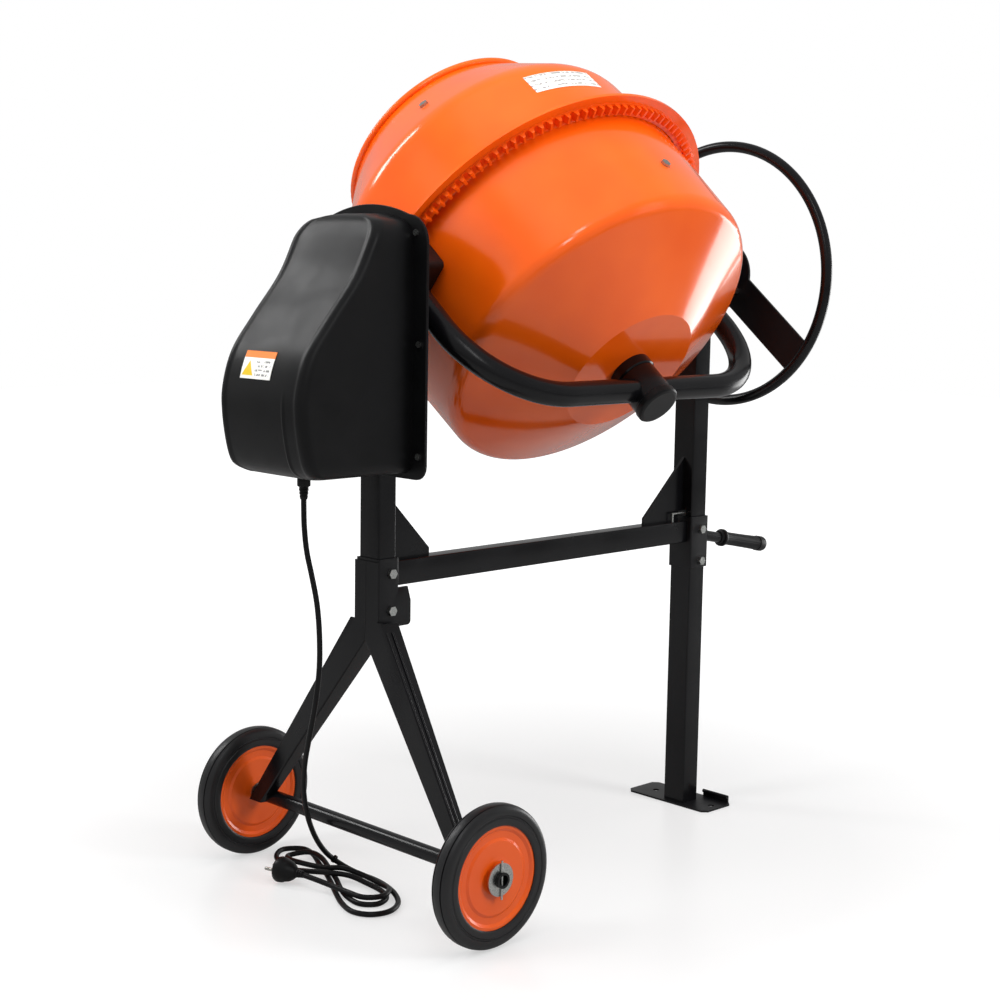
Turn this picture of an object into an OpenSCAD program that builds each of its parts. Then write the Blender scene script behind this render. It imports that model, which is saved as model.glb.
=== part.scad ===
/* [Stand] */
// Distance between the centres of the motor post and the foot post
post_gap = 693; // [640:1:760]
// Motor post width along the machine
motor_post_x = 32; // [28:1:36]
// Motor post depth across the machine
motor_post_y = 43; // [38:1:48]
// Foot post width along the machine
foot_post_x = 36; // [32:1:40]
// Foot post depth across the machine
foot_post_y = 42; // [38:1:48]
// Wall of both posts
post_wall = 2.5; // [2:0.5:3.5]
// Lower end of the motor post above the floor
motor_post_low = 385; // [383:1:392]
// Rise of the foot post above the tilting axis
foot_post_rise = 32; // [28:1:50]
// Height of the cross beam's centre line
beam_z = 475; // [460:1:480]
// Height of the beam's section
beam_h = 36.5; // [30:0.5:42]
// Depth of the beam's section
beam_y = 28; // [22:1:34]
// Wall of the beam
beam_wall = 2; // [1.5:0.5:3]
// Thickness of the bracket sleeves round the posts
sleeve_t = 3; // [2:0.5:4]
// Lower edge of the left bracket's sleeve
sleeve_low = 400; // [395:1:410]
// Lower edge of the right bracket's sleeve
right_sleeve_low = 413; // [405:1:414]
// Upper edge of the bracket sleeves
sleeve_top = 500; // [498:1:508]
// Height of the upper frame bolts
bolt_z_high = 478; // [470:1:485]
// Height of the lower frame bolts
bolt_z_low = 424; // [415:1:440]
// Shank radius of the frame bolts
bolt_r = 4; // [3:0.1:5.5]

/* [Legs and axle] */
// Sheet thickness of the legs
leg_t = 2.5; // [2:0.5:3]
// Lean of the legs away from the drum
leg_lean = 3.8; // [3:0.1:4.5]
// Height of the axle above the floor
axle_z = 100; // [98:1:110]
// Axle centre outside the motor post's centre
axle_out = 23; // [20:1:26]
// Outer radius of the axle tube
axle_r = 11; // [9:0.5:12]
// Wall of the axle tube
axle_wall = 3.5; // [2.5:0.5:4]
// Distance between the wheels' middle planes
wheel_track = 532; // [530:1:560]

/* [Wheels] */
// Width of a tyre
tyre_w = 30; // [26:1:31]
// Radius of the wheel disc under the tyre
disc_r = 72; // [60:1:78]
// Width of the disc pair
disc_w = 24; // [18:1:25]
// Sheet thickness of the discs
disc_t = 2; // [1.5:0.5:3]
// Outer radius of the hub tube
wheel_hub_r = 15; // [14:0.5:20]
// Radius of the outer washer
washer_r = 23; // [20:1:26]

/* [Foot and push handle] */
// Foot plate's reach from the post's centre on the mouth side
foot_far = 98; // [80:1:110]
// Foot plate's reach from the post's centre on the other side
foot_near = 78; // [60:1:90]
// Foot plate's reach towards the push handle
foot_out = 47; // [40:1:60]
// Foot plate's reach towards the drum
foot_in = 28; // [24:1:40]
// Foot plate thickness
foot_t = 3; // [2:0.5:4]
// Height of the foot plate's turned-up lip
foot_lip = 15; // [10:1:20]
// Radius of the floor fixing holes
foot_hole_r = 5.5; // [4:0.5:6.5]
// Distance of the fixing holes from the post's centre line
foot_hole_y = 62; // [50:1:65]
// Distance of the fixing holes towards the push handle
foot_hole_x = 8; // [0:1:20]
// Radius of the push handle's tube
handle_r = 9; // [7:0.5:11]
// Reach of the push handle from the post's centre
handle_reach = 205; // [180:1:240]
// Droop of the push handle
handle_droop = 11; // [0:1:15]

/* [Drum] */
// Height of the tilting axis
axis_h = 906; // [900:1:925]
// Lean of the drum's axis from upright at rest
drum_tilt = 50.4; // [30:0.1:60]
// Drum axis along the machine, from the foot post
drum_x = -352; // [-356:1:-350]
// Radius of the seam flange
flange_r = 305; // [300:1:306]
// Height of the seam plane above the tilting axis, along the drum
seam_s = 38; // [38:0.5:39]
// Sheet thickness of the drum
drum_wall = 2.5; // [2:0.1:2.6]
// Radius of the lower shell under the flange
band_r = 270; // [266:0.5:270.2]
// Radius of the lower shell at the bottom crease
crease_r = 262; // [240:1:264]
// Depth of the bottom crease below the tilting axis
crease_s = 148; // [130:1:150]
// Radius of the flat bottom
bottom_r = 110; // [70:1:130]
// Depth of the flat bottom below the tilting axis
bottom_s = 221; // [212:1:224]
// Shoulder radius of the upper shell
shoulder_r = 262; // [240:1:266]
// Height of the shoulder above the tilting axis
shoulder_s = 172; // [150:1:185]
// Radius of the mouth
mouth_r = 174; // [160:1:185]
// Height of the mouth above the tilting axis
mouth_s = 295; // [280:1:300]
// Radius of the rolled lip
lip_r = 5.5; // [4:0.5:7]

/* [Ring gear and pinion] */
// Teeth on the ring gear
ring_teeth = 120; // [120:12:120]
// Teeth on the pinion
pinion_teeth = 12; // [12:1:12]
// Outer radius of the ring gear
ring_r = 291; // [288:0.5:292]
// Radial length of the ring gear's teeth
ring_tooth_len = 13; // [10:0.5:18]
// Depth of the ring gear's teeth
ring_tooth_h = 8.6; // [8:0.1:9.2]
// Length of the pinion
pinion_len = 19; // [14:0.5:19.5]
// Radius of the pinion shaft
pinion_shaft_r = 8.5; // [7:0.5:9]

/* [Yoke] */
// Outer radius of the yoke tube
yoke_r = 18; // [15:0.5:18]
// Wall of the yoke tube
yoke_wall = 2.5; // [2:0.5:3.5]
// Arm centre lines from the drum's axis
arm_reach = 305; // [303:0.5:306]
// Bend radius of the yoke tube
yoke_bend = 145; // [120:1:150]
// Depth of the yoke tube's cross piece below the tilting axis
yoke_s = 262; // [258:1:266]
// Outer radius of the left bearing tube
bearing_tube_r = 23; // [22:0.5:23]
// Outer radius of the hub under the drum
hub_r = 32; // [30:1:36]
// Radius of the right pivot shaft
pivot_r = 12.5; // [10:0.5:14]
// Running clearance of shafts in their bores, radial
run_gap = 0.05; // [0.02:0.01:0.1]
// Gap between pieces that only pass each other
part_gap = 0.3; // [0.2:0.1:0.5]

/* [Hand wheel] */
// Radius of the rim's centre line
rim_r = 213; // [180:1:225]
// Radius of the rim tube
rim_tube_r = 9; // [7:0.5:10]
// Hand wheel plane outside the foot post's centre
wheel_x = 71; // [68:1:80]
// Width of the flat spoke
spoke_w = 60; // [40:1:70]
// Thickness of the spoke plate
spoke_t = 4; // [3:0.5:5]
// Radius of the spoke plate's round middle
spoke_disc_r = 57; // [50:1:65]
// Radius of the locking disc's ring of holes
lock_r = 42; // [38:1:44]
// Angle between the locking holes
lock_step = 15; // [15:15:30]

/* [Motor housing] */
// Half width of the back plate
plate_half = 121; // [115:1:128]
// Rise of the back plate's arch above the tilting axis
plate_rise = 93; // [89:1:102]
// Drop of the back plate's lower edge below the tilting axis
plate_drop = 284; // [280:1:294]
// Half width of the cover's body
cover_half = 93; // [88:1:96]
// Wall of the cover
cover_wall = 3; // [2:0.5:3]
// Drop of the cover's lower face below the tilting axis
cover_drop = 276; // [272:1:278]
// Radius of the large drive pulley
pulley_r = 70; // [60:1:74]
// Radius of the motor's pulley
motor_pulley_r = 10; // [8:0.5:14]
// Drop of the motor shaft below the tilting axis
motor_drop = 200; // [194:1:206]
// Radius of the motor body
motor_r = 55; // [45:1:58]
// Distance of the belt plane from the motor post's centre
belt_d = 45; // [43:1:48]
// Width of both pulleys
pulley_w = 16; // [12:1:17]

/* [Mains lead] */
// Diameter of the mains lead
cord_d = 8; // [7:0.5:9]
// Radius of the gland under the cover
gland_r = 10; // [9:0.5:12]
// Length of the gland below the cover
gland_len = 30; // [20:1:36]

/* [Hidden] */
$fn = 64;

mx = -post_gap;
sleeve_fit = 0.2;
post_left = mx - motor_post_x / 2;
post_right = mx + motor_post_x / 2;
sleeve_left_out = post_left - sleeve_fit - sleeve_t;
sleeve_right_in = -foot_post_x / 2 - sleeve_fit - sleeve_t;
handle_start = foot_post_x / 2 + sleeve_fit + sleeve_t;
bolt_shift = 5;
axle_x = mx - axle_out;
axle_half = wheel_track / 2 + 26;
wheel_r = axle_z;
plate_top = axis_h + plate_rise;
plate_low = axis_h - plate_drop;
cover_low = axis_h - cover_drop;
motor_z = axis_h - motor_drop;

pitch_r = ring_r - ring_tooth_len / 2;
pinion_pitch_r = pitch_r * pinion_teeth / ring_teeth;
ring_top = seam_s - drum_wall;
ring_root = pinion_pitch_r + 4.85;
ring_tip = ring_root - ring_tooth_h;
pinion_tip_r = ring_root - 0.8;
pinion_root_r = ring_tip - 1.2;
pinion_x1 = drum_x - band_r - 2.5;
pinion_x0 = pinion_x1 - pinion_len;
arm_left = drum_x - arm_reach;
arm_right = drum_x + arm_reach;
bearing_x0 = mx - 29;
bearing_x1 = pinion_x0 - 1.5;
plate_x = post_left;
plate_t = 2;
belt_x = mx - belt_d;
pivot_end = wheel_x + 42;
race_w = 12;
race_r = 20;

// ---- curves -------------------------------------------------------------
function arc(cx, cy, r, a0, a1, n) =
    [for (i = [0:n]) let (a = a0 + (a1 - a0) * i / n) [cx + r * cos(a), cy + r * sin(a)]];

// Catmull-Rom curve through a list of points of any dimension
function knot(p, i) = p[max(0, min(len(p) - 1, i))];
function on_curve(p, i, t) =
    let (a = knot(p, i - 1), b = knot(p, i), c = knot(p, i + 1), d = knot(p, i + 2))
    0.5 * (2 * b + (c - a) * t + (2 * a - 5 * b + 4 * c - d) * t * t
        + (3 * b - a - 3 * c + d) * t * t * t);
function curve(p, n) =
    [for (i = [0:len(p) - 2], k = [0:n - 1]) on_curve(p, i, k / n), p[len(p) - 1]];

// Unit vector, and the left-hand normal of an open line at point i
function unit(v) = v / norm(v);
function normal(p, i) =
    let (v = unit(knot(p, i + 1) - knot(p, i - 1))) [-v[1], v[0]];
function beside(p, w) = [for (i = [0:len(p) - 1]) p[i] + w * normal(p, i)];
function reversed(p) = [for (i = [len(p) - 1:-1:0]) p[i]];

// A corner a-b-c replaced by an arc of radius r
function rounded(a, b, c, r, n) =
    let (u = unit(a - b), v = unit(c - b), half = acos(u * v) / 2,
        m = b + unit(u + v) * r / sin(half),
        p = b + u * r / tan(half), q = b + v * r / tan(half),
        a0 = atan2(p[1] - m[1], p[0] - m[0]), a1 = atan2(q[1] - m[1], q[0] - m[0]),
        da = a1 - a0 > 180 ? a1 - a0 - 360 : (a1 - a0 < -180 ? a1 - a0 + 360 : a1 - a0))
    arc(m[0], m[1], r, a0, a0 + da, n);

// ---- placing ------------------------------------------------------------
module rod_x(x0, x1, r) {
    translate([x0, 0, 0]) rotate([0, 90, 0]) cylinder(h = x1 - x0, r = r);
}

module rod_y(y0, y1, r) {
    translate([0, y0, 0]) rotate([-90, 0, 0]) cylinder(h = y1 - y0, r = r);
}

module box(x0, x1, y0, y1, z0, z1) {
    translate([x0, y0, z0]) cube([x1 - x0, y1 - y0, z1 - z0]);
}

// The yoke's frame: X is the tilting axis, Z runs up along the drum
module yoke_frame() {
    translate([0, 0, axis_h]) rotate([-drum_tilt, 0, 0]) children();
}

module drum_frame() {
    yoke_frame() translate([drum_x, 0, 0]) children();
}

module mirror_y() {
    children();
    mirror([0, 1, 0]) children();
}

// ---- stand --------------------------------------------------------------
module post(cx, wx, wy, z0, z1) {
    difference() {
        box(cx - wx / 2, cx + wx / 2, -wy / 2, wy / 2, z0, z1);
        box(cx - wx / 2 + post_wall, cx + wx / 2 - post_wall,
            -wy / 2 + post_wall, wy / 2 - post_wall, z0 - 1, z1 + 1);
        frame_bolt_holes(cx);
    }
}

module frame_bolt_holes(cx) {
    for (z = [bolt_z_low, bolt_z_high])
        translate([cx + bolt_shift, 0, z]) rod_y(-60, 60, bolt_r + run_gap);
}

module motor_post() {
    color("#17181a") post(mx, motor_post_x, motor_post_y, motor_post_low,
        axis_h - bearing_tube_r - 3);
}

module foot_post() {
    color("#17181a") difference() {
        post(0, foot_post_x, foot_post_y, foot_t, axis_h + foot_post_rise);
        translate([0, 0, axis_h]) rod_x(-30, 30, pivot_r + 6);
    }
}

module cross_beam() {
    x0 = post_right + sleeve_fit + sleeve_t;
    color("#17181a") difference() {
        box(x0, sleeve_right_in, -beam_y / 2, beam_y / 2, beam_z - beam_h / 2, beam_z + beam_h / 2);
        box(x0 - 1, sleeve_right_in + 1, -beam_y / 2 + beam_wall, beam_y / 2 - beam_wall,
            beam_z - beam_h / 2 + beam_wall, beam_z + beam_h / 2 - beam_wall);
    }
}

// A gusset in the corner of post and beam, with a clearance notch for the sleeve
module gusset(rise, reach, notch) {
    low = beam_z + beam_h / 2;
    top = sleeve_top + 10;
    rotate([90, 0, 0]) translate([0, 0, -2.5]) linear_extrude(5)
        polygon([[0, low + rise], [reach, low + 11], [reach, low], [notch, low],
            [notch, top], [0, top]]);
}

module gussets() {
    color("#17181a") {
        translate([post_right, 0, 0]) gusset(95, 81, 14);
        translate([-foot_post_x / 2, 0, 0]) mirror([1, 0, 0]) gusset(107, 100, 14);
    }
}

// Sleeve of folded plate round a post
module sleeve(cx, wx, wy, low) {
    hx = wx / 2 + sleeve_fit;
    hy = wy / 2 + sleeve_fit;
    difference() {
        box(cx - hx - sleeve_t, cx + hx + sleeve_t, -hy - sleeve_t, hy + sleeve_t,
            low, sleeve_top);
        box(cx - hx, cx + hx, -hy, hy, low - 1, sleeve_top + 1);
        frame_bolt_holes(cx);
    }
}

module left_bracket() {
    hy = motor_post_y / 2 + sleeve_fit;
    x0 = post_right + sleeve_fit + sleeve_t;
    color("#1b1c1e") union() {
        sleeve(mx, motor_post_x, motor_post_y, sleeve_low);
        translate([0, -hy, 0]) rotate([90, 0, 0]) linear_extrude(sleeve_t)
            polygon(concat([[x0, sleeve_low]], arc(x0 + 17, sleeve_low + 6, 6, 270, 360, 5),
                [[x0 + 23, 436], [x0 + 17, beam_z - beam_h / 2], [x0, beam_z - beam_h / 2]]));
    }
}

module right_bracket() {
    color("#1b1c1e") sleeve(0, foot_post_x, foot_post_y, right_sleeve_low);
}

module frame_bolt(cx, wy, z) {
    seat = wy / 2 + sleeve_fit + sleeve_t;
    translate([cx + bolt_shift, 0, z]) {
        rod_y(-seat, seat + 10, bolt_r);
        rotate([90, 0, 0]) translate([0, 0, seat]) cylinder(h = 5, r = bolt_r * 1.85, $fn = 6);
    }
}

module frame_nut(cx, wy, z) {
    seat = wy / 2 + sleeve_fit + sleeve_t;
    translate([cx + bolt_shift, seat, z]) rotate([-90, 0, 0]) difference() {
        cylinder(h = 6.5, r = bolt_r * 1.85, $fn = 6);
        translate([0, 0, -1]) cylinder(h = 10, r = bolt_r + run_gap);
    }
}

module frame_bolts() {
    color("#c8ccd0") for (z = [bolt_z_low, bolt_z_high]) {
        frame_bolt(mx, motor_post_y, z);
        frame_nut(mx, motor_post_y, z);
        frame_bolt(0, foot_post_y, z);
        frame_nut(0, foot_post_y, z);
    }
}

// Bent wire pin that locks the beam's end to the right bracket
module beam_pin() {
    wire_r = 1.7;
    top = beam_z + beam_h / 2 + 14;
    color("#c8ccd0") {
        translate([-53, -9, beam_z + beam_h / 2]) cylinder(h = 14 + wire_r, r = wire_r);
        translate([0, -9, top]) rod_x(-53, sleeve_right_in, wire_r);
    }
}

// ---- legs ---------------------------------------------------------------
leg_top = 410;
leg_out_top = [34, leg_top];
leg_in_top = [0.2, 380];
leg_out_low = [250, 92];
leg_in_low = [222, 92];
leg_depth_top = 30;
leg_depth_low = 17;

// One flange along an edge of the web, tapering in depth
module leg_flange(a, b) {
    run = norm(b - a);
    translate([0, a[0], a[1]]) rotate([atan2(b[1] - a[1], b[0] - a[0]), 0, 0])
        linear_extrude(leg_t) polygon([[0, 0], [leg_depth_top, 0], [leg_depth_low, run], [0, run]]);
}

module leg() {
    sleeve_y = motor_post_y / 2 + sleeve_fit + sleeve_t;
    difference() {
        union() {
            translate([sleeve_left_out, 0, leg_top]) rotate([0, leg_lean, 0])
                translate([0, 0, -leg_top]) {
                    translate([-leg_t, 0, 0]) rotate([90, 0, 90]) linear_extrude(leg_t)
                        polygon([leg_in_top, [leg_in_top[0], leg_top], leg_out_top,
                            leg_out_low, leg_in_low]);
                    leg_flange(leg_out_top + [-leg_t, -leg_t], leg_out_low + [-leg_t, 0]);
                    leg_flange(leg_in_top, leg_in_low);
                }
            box(sleeve_left_out - leg_t, sleeve_left_out, leg_in_top[0], sleeve_y,
                leg_top - 8, sleeve_top - 4);
        }
        translate([axle_x, 0, axle_z]) rod_y(0, 400, axle_r);
        box(sleeve_left_out - 30, sleeve_left_out + 60, -20, leg_in_top[0], 60, sleeve_top);
        box(sleeve_left_out, sleeve_left_out + 60, 0, sleeve_y + part_gap, sleeve_low - 2, sleeve_top);
    }
}

module leg_far() {
    color("#151618") leg();
}

module leg_near() {
    color("#151618") mirror([0, 1, 0]) leg();
}

module axle() {
    color("#151618") translate([axle_x, 0, axle_z]) difference() {
        rod_y(-axle_half, axle_half, axle_r);
        rod_y(-axle_half - 1, axle_half + 1, axle_r - axle_wall);
        for (side = [-1, 1]) translate([0, side * (axle_half - 4), -20])
            cylinder(h = 40, r = 1.7);
    }
}

module ring_y(y0, w, r0, r1) {
    translate([0, y0, 0]) rotate([-90, 0, 0]) difference() {
        cylinder(h = w, r = r1);
        translate([0, 0, -1]) cylinder(h = w + 2, r = r0);
    }
}

module wheel_retainers() {
    out = wheel_track / 2 + 18 + part_gap;
    in = wheel_track / 2 - disc_w / 2 - 2.5;
    color("#c8ccd0") translate([axle_x, 0, axle_z]) mirror_y() {
        ring_y(out, 2, axle_r + run_gap, washer_r);
        ring_y(in, 2, axle_r + run_gap, axle_r + 3.5);
        translate([0, axle_half - 4, -27]) cylinder(h = 54, r = 1.6);
    }
}

// ---- wheels, made about their own axle line -----------------------------
module tyre() {
    h = tyre_w / 2;
    round_r = 9;
    rotate([90, 0, 0]) rotate_extrude($fn = 96)
        polygon(concat([[disc_r, -h + 1], [disc_r + 3, -h], [wheel_r - 16, -h]],
            arc(wheel_r - round_r, -h + round_r, round_r, -70, 0, 5),
            arc(wheel_r - round_r, h - round_r, round_r, 0, 70, 5),
            [[wheel_r - 16, h], [disc_r + 3, h], [disc_r, h - 1]]));
}

// One pressed disc with its rim turned inwards, and a pressed ring
module wheel_disc() {
    h = disc_w / 2;
    face = [[disc_r, 0.1], [disc_r, h], [disc_r - 4, h], [disc_r - 8, h - 2.5],
        [disc_r - 17, h - 2.5], [disc_r - 21, h - 0.5], [wheel_hub_r + 14, h - 0.5],
        [wheel_hub_r + 9, h], [wheel_hub_r + run_gap, h]];
    back = [[wheel_hub_r + run_gap, h - disc_t], [wheel_hub_r + 9, h - disc_t],
        [wheel_hub_r + 14, h - disc_t - 0.5], [disc_r - 21, h - disc_t - 0.5],
        [disc_r - 17, h - disc_t - 2.5], [disc_r - 8, h - disc_t - 2.5],
        [disc_r - 4, h - disc_t], [disc_r - disc_t, h - disc_t], [disc_r - disc_t, 0.1]];
    rotate_extrude($fn = 96) polygon(concat(face, back));
}

module wheel(side) {
    rotate([-90, 0, 0]) {
        wheel_disc();
        mirror([0, 0, 1]) wheel_disc();
    }
    ring_y(side > 0 ? -disc_w / 2 : -18, disc_w / 2 + 18, axle_r + run_gap, wheel_hub_r);
}

module at_wheel(side) {
    translate([axle_x, side * wheel_track / 2, axle_z]) children();
}

module near_tyre() {
    color("#1a1a1a") at_wheel(-1) tyre();
}

module far_tyre() {
    color("#1a1a1a") at_wheel(1) tyre();
}

module near_wheel() {
    color("#f0641a") at_wheel(-1) wheel(-1);
}

module far_wheel() {
    color("#f0641a") at_wheel(1) wheel(1);
}

// ---- foot and handle ----------------------------------------------------
// The plate has cut corners, and its outer edge is turned up and rolled beside the post
module foot_plate() {
    corner = 9;
    roll_r = 3;
    lip_start = -foot_near + corner;
    lip_end = -foot_post_y / 2 + 6;
    color("#1b1c1e") difference() {
        union() {
            linear_extrude(foot_t) polygon([[foot_out, -foot_near + corner],
                [foot_out, foot_far - corner], [foot_out - corner, foot_far],
                [-foot_in + corner, foot_far], [-foot_in, foot_far - corner],
                [-foot_in, -foot_near + corner], [-foot_in + corner, -foot_near],
                [foot_out - corner, -foot_near]]);
            box(foot_out - foot_t, foot_out, lip_start, lip_end, 0, foot_lip - roll_r);
            translate([foot_out - foot_t, 0, foot_lip - roll_r]) rod_y(lip_start, lip_end, roll_r);
        }
        for (side = [-1, 1]) translate([foot_hole_x, side * foot_hole_y, -1])
            cylinder(h = foot_t + 2, r = foot_hole_r);
    }
}

// The handle's own frame: Z runs out along the tube from the sleeve
module handle_frame() {
    translate([handle_start, 0, 465]) rotate([0, 90 + handle_droop, 0]) children();
}

handle_len = (handle_reach - handle_start) / cos(handle_droop);
grip_len = 127;

module handle_tube() {
    color("#151618") difference() {
        handle_frame() difference() {
            translate([0, 0, -6]) cylinder(h = handle_len, r = handle_r);
            translate([0, 0, -7]) cylinder(h = handle_len + 2, r = handle_r - 2);
        }
        box(-20, handle_start, -30, 30, 430, 500);
    }
}

module handle_grip() {
    z0 = handle_len - grip_len;
    bore = handle_r + run_gap;
    color("#202022") handle_frame() rotate_extrude() polygon([[bore, z0], [11, z0], [11, z0 + 7],
        [15, z0 + 8], [15, z0 + 13], [11.2, z0 + 14], [11.2, z0 + 40], [12.2, z0 + 108],
        [13.2, z0 + 110], [13.2, handle_len - 3], [10.5, handle_len], [0, handle_len],
        [0, handle_len - 5], [bore, handle_len - 5]]);
}

// ---- pivots -------------------------------------------------------------
module left_bearing_block() {
    block_r = bearing_tube_r + 10;
    low = axis_h - bearing_tube_r - 3;
    color("#1b1c1e") difference() {
        union() {
            translate([0, 0, axis_h]) rod_x(post_left, post_right - 1, block_r);
            box(post_left, post_right - 1, -motor_post_y / 2, motor_post_y / 2, low, axis_h);
        }
        translate([0, 0, axis_h]) rod_x(post_left - 1, post_right, bearing_tube_r + run_gap);
        box(post_left - 1, post_right, -60, 60, low - 60, low);
    }
}

module right_bearing_bush() {
    color("#8d9196") translate([0, 0, axis_h]) difference() {
        union() {
            rod_x(-foot_post_x / 2 - 2, 45, pivot_r + 6 - run_gap);
            rod_x(foot_post_x / 2, foot_post_x / 2 + 4, pivot_r + 12);
        }
        rod_x(-40, 60, pivot_r + run_gap);
    }
}

module locking_disc() {
    r_in = pivot_r + 6;
    color("#8d9196") translate([0, 0, axis_h]) difference() {
        rod_x(40, 45, lock_r + 10);
        rod_x(30, 50, r_in);
        for (a = [0:lock_step:359]) rotate([a - drum_tilt, 0, 0])
            translate([0, 0, lock_r]) rod_x(30, 50, 5.3);
    }
}

module pivot_shaft() {
    color("#a9adb1") yoke_frame() rod_x(arm_right - yoke_r, pivot_end, pivot_r);
}

module pivot_nut() {
    color("#c8ccd0") yoke_frame() translate([pivot_end, 0, 0]) rotate([0, 90, 0]) {
        cylinder(h = 3, r = 17);
        cylinder(h = 12, r = 11, $fn = 6);
    }
}

// ---- yoke ---------------------------------------------------------------
module yoke_bend_solid(cx, a0, r) {
    translate([cx, 0, -yoke_s + yoke_bend]) rotate([90, 0, 0])
        rotate([0, 0, a0]) rotate_extrude(angle = 90) translate([yoke_bend, 0]) circle(r = r);
}

module yoke_path(r, over) {
    flat_left = arm_left + yoke_bend;
    flat_right = arm_right - yoke_bend;
    bend_top = -yoke_s + yoke_bend;
    yoke_bend_solid(flat_left, 180, r);
    yoke_bend_solid(flat_right, 270, r);
    for (x = [arm_left, arm_right]) translate([x, 0, bend_top]) cylinder(h = -bend_top + over, r = r);
    translate([0, 0, -yoke_s]) rod_x(flat_left, flat_right, r);
}

module yoke_tube() {
    color("#121315") yoke_frame() difference() {
        yoke_path(yoke_r, 0);
        yoke_path(yoke_r - yoke_wall, 1);
        rod_x(arm_left - 60, arm_left + 60, bearing_tube_r);
        rod_x(pinion_x0 - 1, pinion_x0 + 60, pinion_tip_r + 1.5);
        rod_x(arm_right - 60, arm_right + 60, yoke_r + 2);
        translate([drum_x, 0, -yoke_s - 60]) cylinder(h = 120, r = hub_r);
    }
    color("#121315") yoke_frame() difference() {
        rod_x(arm_right - yoke_r, arm_right + yoke_r, yoke_r + 2);
        rod_x(arm_right - yoke_r - 1, arm_right + yoke_r + 1, pivot_r);
    }
}

module pinion_bearing_tube() {
    color("#1b1c1e") yoke_frame() difference() {
        rod_x(bearing_x0, bearing_x1, bearing_tube_r);
        rod_x(bearing_x0 - 1, bearing_x1 + 1, race_r - 4);
        rod_x(bearing_x0 - 1, bearing_x0 + race_w + 0.5, race_r);
        rod_x(bearing_x1 - race_w - 0.5, bearing_x1 + 1, race_r);
    }
}

module race_x(x0, bore, r) {
    difference() {
        rod_x(x0, x0 + race_w, r);
        rod_x(x0 - 1, x0 + race_w + 1, bore);
    }
}

hub_low = -yoke_s - 23;
hub_high = -yoke_s + 24;
spindle_r = 10;

module ball_bearings() {
    color("#b9bdc2") {
        yoke_frame() for (x = [bearing_x0 + 0.5, bearing_x1 - race_w - 0.5])
            race_x(x, pinion_shaft_r + run_gap, race_r);
        drum_frame() for (z = [hub_low + 0.5, hub_high - 14.5]) translate([0, 0, z]) difference() {
            cylinder(h = 14, r = 23.5);
            translate([0, 0, -1]) cylinder(h = 16, r = spindle_r + run_gap);
        }
    }
}

// Guard over the pinion: bottom wall, two side walls and the end wall on the tube
module pinion_guard() {
    half = 46;
    x0 = post_right + 1;
    x1 = pinion_x1 + 3;
    low = -pinion_tip_r - 5;
    high = 18;
    color("#161719") yoke_frame() difference() {
        rotate([90, 0, 90]) translate([0, 0, x0]) linear_extrude(x1 - x0)
            polygon(concat([[-half, high]], arc(-half + 8, low + 8, 8, 180, 270, 5),
                arc(half - 8, low + 8, 8, 270, 360, 5), [[half, high]]));
        box(x0 + 2.5, x1 + 1, -half + 2.5, half - 2.5, low + 2.5, high + 1);
        rod_x(x0 - 1, x0 + 4, bearing_tube_r);
        translate([arm_left, 0, low - 20]) cylinder(h = 40, r = yoke_r + part_gap);
        box(x0 - 1, arm_left, -yoke_r - part_gap, yoke_r + part_gap, low - 1, 0);
    }
}

module yoke_hub() {
    color("#1b1c1e") drum_frame() difference() {
        translate([0, 0, hub_low]) cylinder(h = hub_high - hub_low, r = hub_r);
        translate([0, 0, hub_low - 1]) cylinder(h = 100, r = 15);
        translate([0, 0, hub_low - 1]) cylinder(h = 16, r = 23.5);
        translate([0, 0, hub_high - 15]) cylinder(h = 16, r = 23.5);
    }
}

module hub_cap() {
    color("#2a2b2d") drum_frame() translate([0, 0, hub_low]) rotate_extrude()
        polygon([[0, -13], [28, -13], [31.5, -12], [33.5, -9.5], [33.5, -1.5], [hub_r, 0], [20, 0],
            [20, -10.5], [0, -10.5]]);
}

// ---- hand wheel ---------------------------------------------------------
module rim_torus(r) {
    translate([wheel_x, 0, 0]) rotate([0, 90, 0]) rotate_extrude($fn = 128)
        translate([rim_r, 0]) circle(r = r);
}

module handwheel_rim() {
    color("#121315") yoke_frame() rim_torus(rim_tube_r);
}

module handwheel_spoke() {
    color("#1c1a19") yoke_frame() difference() {
        union() {
            box(wheel_x - spoke_t / 2, wheel_x + spoke_t / 2, -spoke_w / 2, spoke_w / 2,
                -rim_r, rim_r);
            rod_x(wheel_x - spoke_t / 2, wheel_x + spoke_t / 2, spoke_disc_r);
        }
        rim_torus(rim_tube_r);
        difference() {
            rod_x(wheel_x - 10, wheel_x + 10, rim_r + 40);
            rod_x(wheel_x - 11, wheel_x + 11, rim_r - 1);
        }
        rod_x(wheel_x - 10, wheel_x + 10, pivot_r + 7);
        translate([0, 0, -lock_r]) rod_x(wheel_x - 10, wheel_x + 10, 5);
    }
}

module handwheel_hub() {
    color("#1b1c1e") yoke_frame() {
        difference() {
            rod_x(wheel_x - 17, wheel_x + 30, pivot_r + 7);
            rod_x(wheel_x - 18, wheel_x + 31, pivot_r + run_gap);
        }
        translate([0, 0, -lock_r]) rod_x(45.4, wheel_x + 6, 5);
    }
}

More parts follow.
